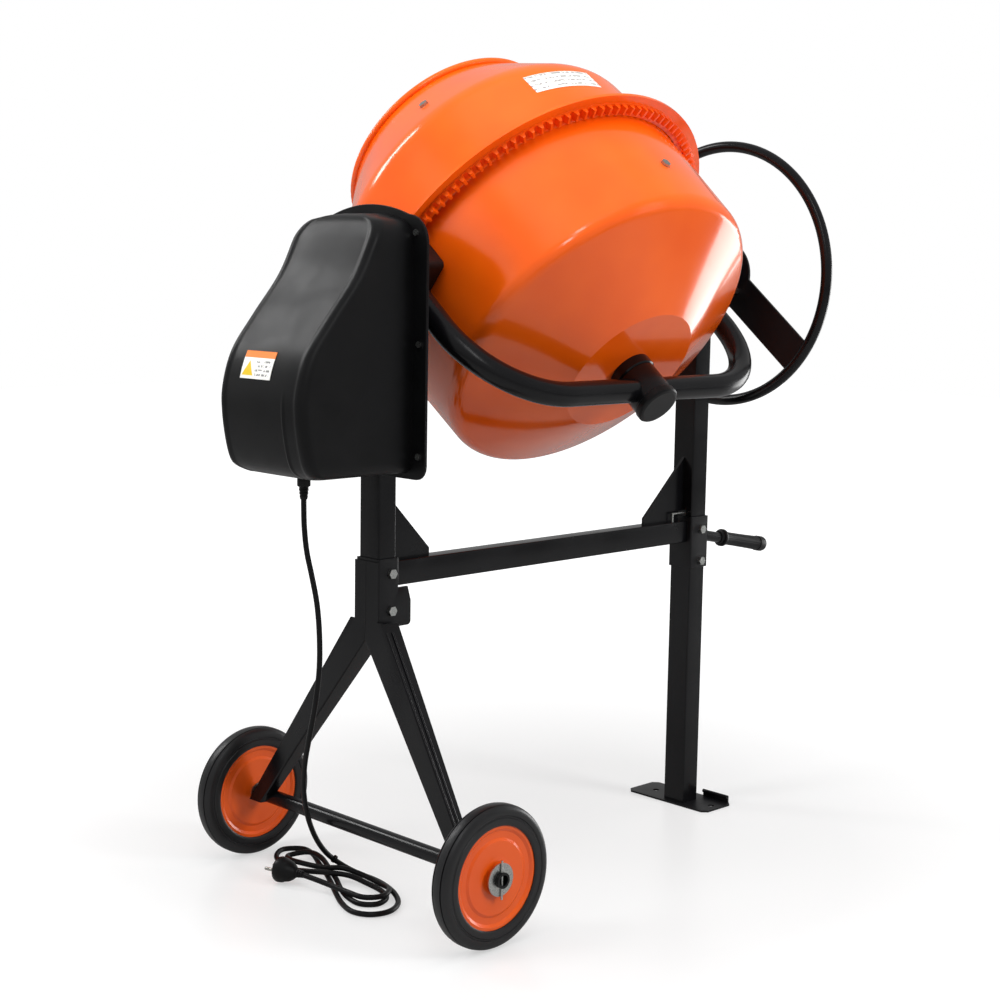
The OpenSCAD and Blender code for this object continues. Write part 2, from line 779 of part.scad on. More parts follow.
// ---- drum drive ---------------------------------------------------------
module pinion_gear() {
    step = 360 / pinion_teeth;
    root_half = 8.6;
    pitch_half = 6.2;
    tip_half = 2.7;
    color("#9a9ea3") yoke_frame() difference() {
        translate([pinion_x0, 0, 0]) rotate([90, 0, 90]) linear_extrude(pinion_len)
            polygon([for (i = [0:pinion_teeth - 1], k = [[pinion_root_r, -root_half],
                [pinion_pitch_r, -pitch_half], [pinion_tip_r, -tip_half],
                [pinion_tip_r, tip_half], [pinion_pitch_r, pitch_half],
                [pinion_root_r, root_half]])
                let (a = 90 + step / 2 + i * step + k[1]) k[0] * [cos(a), sin(a)]]);
        rod_x(pinion_x0 - 1, pinion_x1 + 1, pinion_shaft_r + 0.02);
    }
}

module pinion_shaft() {
    color("#a9adb1") yoke_frame() {
        rod_x(belt_x - pulley_w / 2 - 6, pinion_x1, pinion_shaft_r);
        translate([belt_x - pulley_w / 2 - 4, 0, 0]) rotate([0, -90, 0])
            cylinder(h = 6, r = 12, $fn = 6);
    }
}

module drive_pulley() {
    h = pulley_w / 2;
    bore = pinion_shaft_r + 0.02;
    groove = [for (i = [0:4]) each [[pulley_r, -6 + i * 2.4], [pulley_r - 1.5, -4.8 + i * 2.4]]];
    color("#3a3c3f") yoke_frame() translate([belt_x, 0, 0]) rotate([0, 90, 0]) rotate_extrude()
        polygon(concat([[bore, -h + 2], [18, -h + 2], [20, -2.5], [pulley_r - 8, -2.5],
            [pulley_r - 8, -h], [pulley_r, -h]], groove, [[pulley_r, 6], [pulley_r, h],
            [pulley_r - 8, h], [pulley_r - 8, 2.5], [20, 2.5], [18, h + 6], [bore, h + 6]]));
}

// ---- drum ---------------------------------------------------------------
lower_line = concat([[flange_r, ring_top], [band_r + 2, ring_top], [band_r, ring_top - 2]],
    rounded([band_r, ring_top - 2], [crease_r, -crease_s], [bottom_r, -bottom_s], 26, 8),
    [[bottom_r, -bottom_s], [spindle_r + 12, -bottom_s]]);

seam_top = seam_s + drum_wall;
upper_line = concat([[flange_r, seam_top], [band_r + 2, seam_top], [band_r, seam_top + 2]],
    rounded([band_r, seam_top + 2], [shoulder_r, shoulder_s], [mouth_r, mouth_s], 60, 10),
    [[mouth_r, mouth_s]]);

// Sheet of the drum's wall built inwards from its outer line
function sheet_of(line, w) = concat(line, reversed(beside(line, w)));

blade_low_s = -71;
blade_high_s = 224;
blade_low_turn = -89;
blade_turn = -55;
function band_at(s) = band_r + (crease_r - band_r) * (ring_top - 2 - s) / (ring_top - 2 + crease_s);
function cone_at(s) = shoulder_r + (mouth_r - shoulder_r) * (s - shoulder_s) / (mouth_s - shoulder_s);
cone_lean = atan2(shoulder_r - mouth_r, mouth_s - shoulder_s);
band_lean = -atan2(band_r - crease_r, ring_top + crease_s);

// A spot on the drum's outer surface with Z pointing out of the sheet
module on_shell(r, s, turn, lean) {
    rotate([0, 0, turn]) translate([r, 0, s]) rotate([0, 90 - lean, 0]) children();
}

module each_blade_bolt() {
    for (side = [0, 180]) {
        on_shell(band_at(blade_low_s), blade_low_s, blade_low_turn + side, band_lean) children();
        on_shell(cone_at(blade_high_s), blade_high_s, blade_low_turn + blade_turn + side, cone_lean)
            children();
    }
}

module drum_lower() {
    color("#f0641a") drum_frame() difference() {
        rotate_extrude($fn = 160) polygon(sheet_of(lower_line, -drum_wall));
        each_blade_bolt() translate([0, 0, -30]) cylinder(h = 60, r = 5);
    }
}

module drum_upper() {
    color("#f0641a") drum_frame() difference() {
        union() {
            rotate_extrude($fn = 160) polygon(sheet_of(upper_line, drum_wall));
            rotate_extrude($fn = 160) translate([mouth_r + lip_r - drum_wall, mouth_s])
                circle(r = lip_r, $fn = 32);
        }
        each_blade_bolt() translate([0, 0, -30]) cylinder(h = 60, r = 5);
    }
}

module ring_gear() {
    tip_w = 3.6;
    root_w = 9;
    inner = band_r + 2;
    color("#e85f1c") drum_frame() union() {
        translate([0, 0, ring_root]) difference() {
            cylinder(h = ring_top - ring_root, r = ring_r + 1, $fn = 160);
            translate([0, 0, -1]) cylinder(h = 10, r = inner, $fn = 160);
        }
        for (i = [0:ring_teeth - 1]) rotate([0, 0, i * 360 / ring_teeth])
            translate([ring_r - ring_tooth_len, 0, 0]) rotate([90, 0, 90])
                linear_extrude(ring_tooth_len)
                    polygon([[-root_w / 2, ring_root + 0.5], [root_w / 2, ring_root + 0.5],
                        [root_w / 2, ring_root], [tip_w / 2, ring_tip], [-tip_w / 2, ring_tip],
                        [-root_w / 2, ring_root]]);
    }
}

module drum_spindle() {
    boss_r = 34;
    inside = -bottom_s + drum_wall;
    color("#8d9196") drum_frame() {
        rotate_extrude() polygon([[0, hub_low - 8], [8, hub_low - 8], [spindle_r, hub_low - 6],
            [spindle_r, hub_high + 1], [boss_r - 2, hub_high + 1], [boss_r, hub_high + 3],
            [boss_r, -bottom_s], [spindle_r + 11.5, -bottom_s], [spindle_r + 11.5, inside],
            [55, inside], [55, inside + 5], [0, inside + 5]]);
    }
}

// A blade is a strip set on edge that climbs and turns along the drum's wall
blade_in = 46;
blade_half = 2;
function wall_at(s) = s > shoulder_s ? cone_at(s)
    : (s > seam_s ? band_r + (shoulder_r - band_r) * (s - seam_s) / (shoulder_s - seam_s) : band_at(s));
function blade_ring(u) =
    let (s = blade_low_s + (blade_high_s - blade_low_s) * u,
        turn = blade_low_turn + blade_turn * u,
        r = wall_at(s) - drum_wall - (u > 0.4 && u < 0.96 ? 9 : 6),
        side = [-sin(turn), cos(turn), 0] * blade_half, out = [cos(turn), sin(turn), 0],
        up = [0, 0, s])
    [up + out * r + side, up + out * r - side, up + out * (r - blade_in) - side,
        up + out * (r - blade_in) + side];

module blade() {
    n = 24;
    pts = [for (i = [0:n]) each blade_ring(i / n)];
    sides = [for (i = [0:n - 1], k = [0:3]) each [
        [4 * i + k, 4 * i + (k + 1) % 4, 4 * i + 4 + k],
        [4 * i + (k + 1) % 4, 4 * i + 4 + (k + 1) % 4, 4 * i + 4 + k]]];
    polyhedron(points = pts, faces = concat([[3, 2, 1, 0]], sides,
        [[4 * n, 4 * n + 1, 4 * n + 2, 4 * n + 3]]));
}

module blade_foot() {
    difference() {
        translate([-17, -17, -drum_wall - 6]) cube([34, 34, 4]);
        translate([0, 0, -30]) cylinder(h = 40, r = 5);
    }
}

module mixing_blades() {
    color("#a7a9ac") drum_frame() {
        for (side = [0, 180]) rotate([0, 0, side]) difference() {
            blade();
            on_shell(band_at(blade_low_s), blade_low_s, blade_low_turn, band_lean)
                translate([0, 0, -24]) cylinder(h = 40, r = 9);
            on_shell(cone_at(blade_high_s), blade_high_s, blade_low_turn + blade_turn, cone_lean)
                translate([0, 0, -24]) cylinder(h = 40, r = 9);
        }
        each_blade_bolt() blade_foot();
    }
}

module drum_bolts() {
    color("#b0a79a") drum_frame() {
        each_blade_bolt() {
            cylinder(h = 4, r = 7.5, $fn = 6);
            translate([0, 0, -drum_wall - 10]) cylinder(h = drum_wall + 11, r = 4.95);
        }
    }
}

module drum_label() {
    s0 = 112;
    s1 = 150;
    gap = 0.2;
    w = 0.5;
    color("#f4f4f2") drum_frame() rotate([0, 0, -113]) rotate_extrude(angle = 27, $fn = 160)
        polygon([[wall_at(s0) + gap, s0], [wall_at(s0) + gap + w, s0],
            [wall_at(s1) + gap + w, s1], [wall_at(s1) + gap, s1]]);
}

// ---- motor housing ------------------------------------------------------
// Front of the cover from top to bottom: distance from the post's centre, and
// height from the tilting axis
cover_crown = axis_h + 82;
cover_front = [for (p = curve([[40, 80], [66, 75], [83, 54], [113, -4], [158, -60], [194, -108],
    [210, -156], [211, -194], [204, -238], [194, -264], [176, -cover_drop]], 4))
    [p[0], p[1] + axis_h]];
function cover_side(w) = let (line = beside(cover_front, -w))
    concat([[plate_d - 30, line[0][1]]], line, [[plate_d - 30, line[len(line) - 1][1]]]);
plate_d = mx - plate_x + plate_t;

// Outline across the machine, with an arched top and round corners, inset by w
function arch_outline(half, top, sag, low, r_top, r_low, w) =
    let (h = half - w, t = top - w, b = low + w, rt = r_top - w, rl = r_low - w,
        y1 = h - rt, z1 = t - sag - rt,
        crown = [for (i = [1:7]) let (y = y1 - 2 * y1 * i / 8) [y, t - sag * (y / y1) * (y / y1)]])
    concat(arc(h - rl, b + rl, rl, -90, 0, 5), arc(y1, z1, rt, 0, 90, 6), crown,
        arc(-y1, z1, rt, 90, 180, 6), arc(-h + rl, b + rl, rl, 180, 270, 5));

module slab_yz(x0, x1, outline) {
    translate([x0, 0, 0]) rotate([90, 0, 90]) linear_extrude(x1 - x0) polygon(outline);
}

module cover_body(w) {
    intersection() {
        rotate([90, 0, 0]) translate([0, 0, -cover_half - 10]) linear_extrude(2 * cover_half + 20)
            polygon([for (p = cover_side(w)) [mx - p[0], p[1]]]);
        slab_yz(mx - 250, plate_x - plate_t, arch_outline(cover_half, cover_crown, 8, cover_low, 34, 16, w));
    }
}

module back_plate() {
    color("#1a1b1d") difference() {
        slab_yz(plate_x - plate_t, plate_x, arch_outline(plate_half, plate_top, 14, plate_low, 40, 20, 0));
        translate([0, 0, axis_h]) rod_x(plate_x - 10, plate_x + 10, bearing_tube_r + 3);
        each_cover_screw() rod_x(-10, 10, 2.1);
    }
}

module motor_cover() {
    flange_x = plate_x - plate_t;
    color("#232426") difference() {
        union() {
            cover_body(0);
            slab_yz(flange_x - plate_t, flange_x,
                arch_outline(plate_half, plate_top, 14, plate_low, 40, 20, 0));
        }
        difference() {
            cover_body(cover_wall);
            translate([mx - 400, -200, 500]) cube([400 - 250, 400, 1200]);
        }
        slab_yz(flange_x - 8, flange_x + 1, arch_outline(cover_half, cover_crown, 8, cover_low, 34, 16, cover_wall));
        translate([gland_x, gland_y, cover_low - 5]) cylinder(h = 20, r = gland_r - 2);
        switch_cut(part_gap);
        each_cover_screw() rod_x(-10, 10, 2.1);
    }
}

module each_cover_screw() {
    for (side = [-1, 1], p = [[107, -251], [107, -97], [99, 54]])
        translate([plate_x - plate_t, side * p[0], axis_h + p[1]]) children();
}

module cover_screws() {
    color("#c8ccd0") each_cover_screw() {
        rod_x(-1, 5, 2);
        rod_x(-plate_t - 2.4, -plate_t, 4.5);
        rod_x(-plate_t - 0.1, -0.9, 2);
    }
}

module warning_label() {
    line = [for (p = cover_front) if (p[1] > axis_h - 154 && p[1] < axis_h - 106) p];
    outer = beside(line, 0.8);
    inner = beside(line, 0.2);
    color("#f3f1ec") rotate([90, 0, 0]) translate([0, 0, -46]) linear_extrude(66)
        polygon([for (p = concat(outer, reversed(inner))) [mx - p[0], p[1]]]);
}

// ---- drive inside the housing -------------------------------------------
mount_x = belt_x - pulley_w / 2 - 6;

module motor_mount() {
    stand_r = 52;
    color("#8d9196") translate([0, 0, motor_z]) {
        difference() {
            rod_x(mount_x - 4, mount_x, 60);
            rod_x(mount_x - 5, mount_x + 1, 14);
        }
        for (a = [45:90:359]) rotate([a, 0, 0]) translate([0, 0, stand_r])
            rod_x(mount_x, plate_x - plate_t, 6);
    }
}

module motor_body() {
    color("#9a9ea3") translate([0, 0, motor_z]) difference() {
        union() {
            rod_x(mount_x - 4 - 110, mount_x - 4, motor_r - 4);
            rod_x(mount_x - 4 - 16, mount_x - 4, motor_r);
            for (i = [0:8]) rod_x(mount_x - 104 + i * 9, mount_x - 100 + i * 9, motor_r);
        }
        rod_x(mount_x - 90, mount_x + 10, 6 + run_gap);
    }
}

module motor_shaft() {
    color("#a9adb1") translate([0, 0, motor_z]) {
        rod_x(mount_x - 80, belt_x + pulley_w / 2, 6);
        rod_x(belt_x - pulley_w / 2, belt_x + pulley_w / 2, motor_pulley_r);
    }
}

module run_capacitor() {
    color("#d9d9d6") translate([0, -68, axis_h - 114]) rod_x(plate_x - plate_t - 64, plate_x - plate_t, 16);
}

// Belt round both pulleys: two arcs and the straight runs between them
module belt_outline(off) {
    up = axis_h - motor_z;
    ra = pulley_r + off;
    rb = motor_pulley_r + off;
    lean = asin((ra - rb) / up);
    polygon(concat(arc(0, 0, rb, 180 + lean, 360 - lean, 16),
        arc(0, up, ra, -lean, 180 + lean, 48)));
}

module drive_belt() {
    color("#1a1a1a") translate([belt_x - 6, 0, motor_z]) rotate([90, 0, 90]) linear_extrude(12)
        difference() {
            belt_outline(3.5);
            belt_outline(0.4);
        }
}

switch_x = mx - 100;
switch_z = axis_h - 101;

module switch_cut(gap) {
    box(switch_x - 22 - gap, switch_x + 22 + gap, cover_half - 20, cover_half + 20,
        switch_z - 30 - gap, switch_z + 30 + gap);
}

module each_button(z_side, grow) {
    box(switch_x - 9 - grow, switch_x + 9 + grow, cover_half - 12, cover_half + 6,
        switch_z + z_side * 15 - 10 - grow, switch_z + z_side * 15 + 10 + grow);
}

module switch_body() {
    color("#27282a") difference() {
        union() {
            box(switch_x - 22, switch_x + 22, cover_half - 38, cover_half,
                switch_z - 30, switch_z + 30);
            box(switch_x - 27, switch_x + 27, cover_half, cover_half + 3,
                switch_z - 36, switch_z + 36);
        }
        for (z_side = [-1, 1]) translate([0, -4, 0]) each_button(z_side, part_gap);
        for (z_side = [-1, 1]) each_button(z_side, part_gap);
    }
}

module start_button() {
    color("#2f9e44") each_button(1, 0);
}

module stop_button() {
    color("#d1201f") each_button(-1, 0);
}

// ---- mains lead ---------------------------------------------------------
gland_x = mx - 95;
gland_y = 50;
plug_at = [mx - 74, 119, 19.5];
plug_turn = 104;

module cord_gland() {
    color("#4a4b4d") translate([gland_x, gland_y, 0]) difference() {
        union() {
            translate([0, 0, cover_low - gland_len]) cylinder(h = gland_len, r = gland_r);
            translate([0, 0, cover_low - 1]) cylinder(h = 8, r = gland_r - 2 - run_gap);
        }
        translate([0, 0, cover_low - gland_len - 1]) cylinder(h = gland_len + 20, r = cord_d / 2 - 1);
    }
}

// The lead hangs from the gland, passes under the axle and lies in a loose figure of eight
// X runs from the motor post's centre; the hanging part follows the gland's height.
cord_route = [
    [-95, 50, 600], [-95, 50, 575], [-97, 46, 545], [-98, 39, 512], [-96, 30, 478],
    [-94, 21, 440], [-95, 14, 398], [-98, 10, 350], [-103, 12, 300], [-104, 24, 250],
    [-97, 44, 202], [-83, 64, 155], [-63, 80, 110], [-39, 92, 70], [-13, 98, 38],
    [11, 90, 16], [25, 67, 5], [27, 35, 4.2], [22, 2, 4.2], [9, -34, 4.2],
    [-13, -66, 4.2], [-43, -82, 4.2], [-71, -74, 4.2], [-83, -48, 4.2], [-73, -12, 4.2],
    [-53, 26, 4.2], [-31, 64, 4.2], [-9, 104, 4.2], [11, 146, 4.2], [31, 186, 4.2],
    [35, 216, 4.2], [11, 234, 4.2], [-15, 218, 4.2], [-31, 188, 4.2], [-39, 152, 4.8],
    [-35, 116, 10], [-21, 84, 12.8], [-6, 54, 12.8], [3, 22, 7], [3, -10, 4.2],
    [-11, -38, 4.2], [-37, -48, 4.2], [-55, -30, 4.2], [-51, 2, 4.6], [-36, 36, 4.6],
    [-15, 72, 4.6], [3, 108, 4.6], [15, 146, 12.8], [15, 178, 12.8], [-9, 194, 9],
    [-25, 172, 12], [-23, 140, 13], [-13, 106, 13.4], [-1, 72, 18], [11, 40, 12.8],
    [13, 4, 9], [1, -30, 12.8], [-25, -46, 12.8], [-49, -32, 12.8], [-53, 0, 13],
    [-55, 34, 14], [-61, 60, 17], [-66, 85.2, 19]];
cord_hang = (cover_low - gland_len) / cord_route[0][2];
cord_points = [for (p = cord_route) [mx + p[0], p[1], p[2] > 100 ? p[2] * cord_hang : p[2]]];

cord_sides = 8;
function along(p, i) = unit(knot(p, i + 1) - knot(p, i - 1));
// Carries a side vector along the route without twist
function carried(p, i, v) = let (t = along(p, i)) unit(v - t * (v * t));
function frames(p, i, v) = i >= len(p) ? [] :
    let (w = carried(p, i, v)) concat([w], frames(p, i + 1, w));
module swept(p, r) {
    u = frames(p, 0, [0, 1, 0]);
    n = len(p);
    pts = [for (i = [0:n - 1]) let (t = along(p, i), w = cross(t, u[i]))
        for (k = [0:cord_sides - 1]) let (a = 360 * k / cord_sides)
            p[i] + r * (cos(a) * u[i] + sin(a) * w)];
    sides = [for (i = [0:n - 2], k = [0:cord_sides - 1]) let (j = (k + 1) % cord_sides)
        each [[cord_sides * i + k, cord_sides * i + cord_sides + k, cord_sides * i + j],
            [cord_sides * i + j, cord_sides * i + cord_sides + k, cord_sides * i + cord_sides + j]]];
    polyhedron(points = pts, faces = concat([[for (k = [0:cord_sides - 1]) k]], sides,
        [[for (k = [cord_sides - 1:-1:0]) cord_sides * (n - 1) + k]]));
}

module mains_cord() {
    color("#1a1a1a") swept(cord_points, cord_d / 2);
}

module cord_tie() {
    tie_at = 14;
    way = unit(cord_points[tie_at + 1] - cord_points[tie_at]);
    middle = (cord_points[tie_at + 1] + cord_points[tie_at]) / 2;
    turn = [0, acos(way[2]), atan2(way[1], way[0])];
    color("#2a2a2a") translate(middle) rotate(turn) difference() {
        cylinder(h = 3, r = cord_d / 2 + 2, center = true);
        cylinder(h = 4, r = cord_d / 2 + 0.4, center = true);
    }
}

// Plug frame: origin in the plug's middle, X towards the pins
module plug_frame() {
    translate(plug_at) rotate([0, 0, plug_turn]) children();
}

module mains_plug() {
    color("#1a1a1a") plug_frame() rotate([0, 90, 0]) rotate_extrude()
        polygon([[0, -34], [5, -34], [7, -20], [14, -13], [19, -3], [19.3, 9], [18, 12], [0, 12]]);
}

module plug_pins() {
    color("#d9c27a") plug_frame() for (side = [-1, 1]) translate([0, side * 9.5, 0]) {
        rod_x(12, 29, 2.4);
        translate([29, 0, 0]) sphere(r = 2.4, $fn = 24);
    }
}

motor_post();
foot_post();
cross_beam();
gussets();
left_bracket();
right_bracket();
frame_bolts();
beam_pin();
leg_near();
leg_far();
axle();
wheel_retainers();
foot_plate();
handle_tube();
handle_grip();
left_bearing_block();
right_bearing_bush();
locking_disc();
back_plate();
motor_cover();
cover_screws();
warning_label();
motor_mount();
motor_body();
run_capacitor();
drive_belt();
switch_body();
start_button();
stop_button();
cord_gland();
mains_cord();
cord_tie();
mains_plug();
plug_pins();
motor_shaft();
yoke_tube();
pinion_bearing_tube();
ball_bearings();
pinion_guard();
yoke_hub();
hub_cap();
pivot_shaft();
pivot_nut();
handwheel_rim();
handwheel_spoke();
handwheel_hub();
pinion_gear();
pinion_shaft();
drive_pulley();
drum_lower();
drum_upper();
ring_gear();
drum_spindle();
mixing_blades();
drum_bolts();
drum_label();
near_tyre();
near_wheel();
far_tyre();
far_wheel();
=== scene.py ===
# %% [markdown]
# # A small concrete mixer
# The machine stands on a foot plate and two wheels, and a drum hangs in a bent
# tube between two posts. The engineering model is loaded first. Its pieces keep
# their places here, and the ones made again below are measured from it or repeat
# its numbers. The camera and the lamps were chosen.

# %% Load the engineering model
import math

import bmesh
import bpy
import numpy as np
from mathutils import Matrix, Vector


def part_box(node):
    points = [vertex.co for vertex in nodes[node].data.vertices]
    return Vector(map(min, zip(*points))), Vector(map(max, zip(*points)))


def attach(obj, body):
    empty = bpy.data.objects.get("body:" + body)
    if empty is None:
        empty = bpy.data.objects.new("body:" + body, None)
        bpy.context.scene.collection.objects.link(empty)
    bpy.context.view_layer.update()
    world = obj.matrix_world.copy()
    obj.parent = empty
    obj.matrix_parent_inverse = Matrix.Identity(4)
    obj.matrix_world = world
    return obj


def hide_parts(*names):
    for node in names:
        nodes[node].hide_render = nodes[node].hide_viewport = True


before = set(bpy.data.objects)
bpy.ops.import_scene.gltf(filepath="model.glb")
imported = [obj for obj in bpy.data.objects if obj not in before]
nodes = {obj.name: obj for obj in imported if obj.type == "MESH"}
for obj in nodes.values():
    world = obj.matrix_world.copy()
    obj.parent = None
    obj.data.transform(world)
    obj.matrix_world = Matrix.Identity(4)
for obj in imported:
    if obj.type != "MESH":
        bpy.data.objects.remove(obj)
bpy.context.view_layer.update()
mm = 0.001

# %% [markdown]
# ## Camera
# A product view from low down and far off, with a longish lens. Far and long
# keeps the two posts upright, which a short lens close by would not.

# %% Camera
camera_data = bpy.data.cameras.new("camera")
camera_data.lens = 65.2
camera_data.sensor_width = 36
camera_data.shift_x = 0.0029
camera_data.shift_y = -0.0021
camera = bpy.data.objects.new("camera", camera_data)
bpy.context.collection.objects.link(camera)
look = Vector((0.6923, 0.7096, -0.1315)).normalized()
level = look.cross(Vector((0, 0, 1))).normalized()
upward = level.cross(look)
roll = math.radians(0.93)
right = level * math.cos(roll) + upward * math.sin(roll)
upward = right.cross(look)
turn = Matrix((right, upward, -look)).transposed().to_4x4()
camera.matrix_world = Matrix.Translation((-2.362, -1.954, 0.928)) @ turn
bpy.context.scene.camera = camera
print("camera looks along", [round(x, 3) for x in look])

# %% [markdown]
# ## The mains lead comes first
# The lead leaves a gland under the motor cover, hangs past the axle and lies on
# the floor in a loose figure of eight. Where it crosses itself it rides over in
# a low hump. Its route is the same list of points as in the engineering model,
# in millimetres. A curve with a round bevel is the simplest true tube.

# %% Lead route
lead_diameter = 8 * mm
lead_points = [
    (-788, 50, 600), (-788, 50, 575), (-790, 46, 545), (-791, 39, 512), (-789, 30, 478),
    (-787, 21, 440), (-788, 14, 398), (-791, 10, 350), (-796, 12, 300), (-797, 24, 250),
    (-790, 44, 202), (-776, 64, 155), (-756, 80, 110), (-732, 92, 70), (-706, 98, 38),
    (-682, 90, 16), (-668, 67, 5), (-666, 35, 4.2), (-671, 2, 4.2), (-684, -34, 4.2),
    (-706, -66, 4.2), (-736, -82, 4.2), (-764, -74, 4.2), (-776, -48, 4.2), (-766, -12, 4.2),
    (-746, 26, 4.2), (-724, 64, 4.2), (-702, 104, 4.2), (-682, 146, 4.2), (-662, 186, 4.2),
    (-658, 216, 4.2), (-682, 234, 4.2), (-708, 218, 4.2), (-724, 188, 4.2), (-732, 152, 4.8),
    (-728, 116, 10), (-714, 84, 12.8), (-699, 54, 12.8), (-690, 22, 7), (-690, -10, 4.2),
    (-704, -38, 4.2), (-730, -48, 4.2), (-748, -30, 4.2), (-744, 2, 4.6), (-729, 36, 4.6),
    (-708, 72, 4.6), (-690, 108, 4.6), (-678, 146, 12.8), (-678, 178, 12.8), (-702, 194, 9),
    (-718, 172, 12), (-716, 140, 13), (-706, 106, 13.4), (-694, 72, 18), (-682, 40, 12.8),
    (-680, 4, 9), (-692, -30, 12.8), (-718, -46, 12.8), (-742, -32, 12.8), (-746, 0, 13),
    (-748, 34, 14), (-754, 60, 17), (-759, 85.2, 19)]


def through(points, steps):
    """A smooth curve that passes through every point."""
    p = [Vector(q) for q in points]
    out = []
    for i in range(len(p) - 1):
        a, b, c, d = p[max(i - 1, 0)], p[i], p[i + 1], p[min(i + 2, len(p) - 1)]
        for k in range(steps):
            t = k / steps
            out.append(0.5 * (2 * b + (c - a) * t + (2 * a - 5 * b + 4 * c - d) * t * t
                              + (3 * b - a - 3 * c + d) * t ** 3))
    return out + [p[-1]]


def tube(name, line, radius, sides=8):
    """A round tube as a curve, along a list of points in metres.

    The bevel is 1 m and each point scales it down, so the curve's own box stays tight."""
    data = bpy.data.curves.new(name, "CURVE")
    data.dimensions = "3D"
    data.bevel_depth = 1.0
    data.bevel_resolution = sides
    data.use_fill_caps = True
    spline = data.splines.new("POLY")
    spline.points.add(len(line) - 1)
    for point, place in zip(spline.points, line):
        point.co = (*place, 1)
        point.radius = radius
    piece = bpy.data.objects.new(name, data)
    bpy.context.collection.objects.link(piece)
    return piece


lead_line = [q * mm for q in through(lead_points, 5)]
lead = tube("mains_lead", lead_line, lead_diameter / 2)
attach(lead, "stand")
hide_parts("mains_cord")

# %% [markdown]
# ## A helper for turned pieces
# Grips, tyres, plugs and sleeves are all bodies of revolution: an outline turned
# round an axis. One function turns a list of (radius, height) pairs.

# %% Turning and finishing helpers
def add_piece(name, verts, faces, smooth=40):
    """A mesh piece, shaded smooth except across edges sharper than the angle."""
    data = bpy.data.meshes.new(name)
    data.from_pydata([tuple(v) for v in verts], [], faces)
    work = bmesh.new()
    work.from_mesh(data)
    bmesh.ops.remove_doubles(work, verts=work.verts, dist=1e-6)
    bmesh.ops.recalc_face_normals(work, faces=work.faces)
    for edge in work.edges:
        flat = len(edge.link_faces) < 2 or edge.calc_face_angle(0) < math.radians(smooth)
        edge.smooth = flat
    for face in work.faces:
        face.smooth = True
    work.to_mesh(data)
    work.free()
    piece = bpy.data.objects.new(name, data)
    bpy.context.collection.objects.link(piece)
    return piece


def turned(name, outline, count, place, shape=None, smooth=40):
    """Turns (radius, height) pairs round local Z, then puts the piece in place.

    shape, if given, changes a point: shape(radius, height, angle) -> (radius, height)."""
    verts, faces = [], []
    n = len(outline)
    for k in range(count):
        a = 2 * math.pi * k / count
        for r, h in outline:
            if shape:
                r, h = shape(r, h, a)
            verts.append(place @ Vector((r * math.cos(a), r * math.sin(a), h)))
        for i in range(n - 1):
            j = ((k + 1) % count) * n
            faces.append((k * n + i, j + i, j + i + 1, k * n + i + 1))
    return add_piece(name, verts, faces, smooth)


def arc(cx, cy, r, a0, a1, n):
    """Points on a round corner, in degrees."""
    return [(cx + r * math.cos(math.radians(a0 + (a1 - a0) * i / n)),
             cy + r * math.sin(math.radians(a0 + (a1 - a0) * i / n))) for i in range(n + 1)]


def soften(piece, width, segments=3):
    """A small round on every sharp edge, as a press or a mould leaves it."""
    bevel = piece.modifiers.new("round", "BEVEL")
    bevel.width = width
    bevel.segments = segments
    bevel.limit_method = "ANGLE"
    bevel.angle_limit = math.radians(35)
    bevel.harden_normals = False
    return piece


def middle(node):
    low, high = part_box(node)
    return (Vector(low) + Vector(high)) / 2


print("helpers ready")

# %% [markdown]
# ## The plug
# A round two-pin plug with a moulded grip. The grip is lobed so that wet hands
# can pull it, and a ribbed boot lets the lead bend without cracking. It lies on
# the floor, turned the way the lead leaves it.

# %% Plug body
plug_place = Matrix.Translation((-0.767, 0.119, 0.0195)) @ Matrix.Rotation(
    math.radians(104), 4, "Z") @ Matrix.Rotation(math.radians(90), 4, "Y")
plug_outline = [(0, -34), (4.8, -34), (5.2, -33), (5.2, -31.4), (4.5, -31), (4.5, -30),
                (5.6, -29.4), (5.6, -27.8), (4.9, -27.4), (4.9, -26.4), (6.2, -25.8),
                (6.2, -24), (5.4, -23.6), (5.6, -22.4), (7, -21.6), (8.6, -18.6), (12.4, -14),
                (15.6, -9), (17.4, -5), (18.4, -1), (19.3, 2), (19.3, 9), (18.4, 11.4),
                (17.6, 12), (0, 12)]


def plug_lobes(r, h, a):
    grip = math.exp(-((h + 3) / 6) ** 2) if r > 8 else 0
    return r * mm * (1 - 0.10 * grip * (0.5 + 0.5 * math.cos(2 * a))), h * mm


plug = turned("plug_moulding", plug_outline, 64, plug_place, plug_lobes)
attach(plug, "stand")
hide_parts("mains_plug")
print("plug faces", len(plug.data.polygons))

# %% [markdown]
# ## The motor cover
# A deep moulded shell. It swells at the bottom to clear the motor and sweeps
# back to the bearing at the top. An engineering outline cut from two sides has
# sharp edges, but a mould has none, so the shell is lofted: level by level, from
# the same two outlines, with a generous corner that runs from top to bottom. One
# shallow rib stiffens the front below the label.

# %% Motor cover shell
flange_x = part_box("motor_cover")[1][0] / mm
post_x, tilt_z = -693.0, 906.0
side_line = [(40, 80), (66, 75), (83, 54), (113, -4), (158, -60), (194, -108), (210, -156),
             (211, -194), (204, -238), (194, -264), (176, -276)]
sweep = through([(d, h, 0) for d, h in side_line], 8)[::-1]
sweep_h = [q[1] for q in sweep]
sweep_d = [q[0] for q in sweep]


def cover_reach(h):
    """How far the front stands out from the post's centre, at a height from the axis."""
    return float(np.interp(h, sweep_h, sweep_d))


half_width, arch = 93.0, 8
top_at, top_r = 40, 34
low_at, low_r = -260, 16


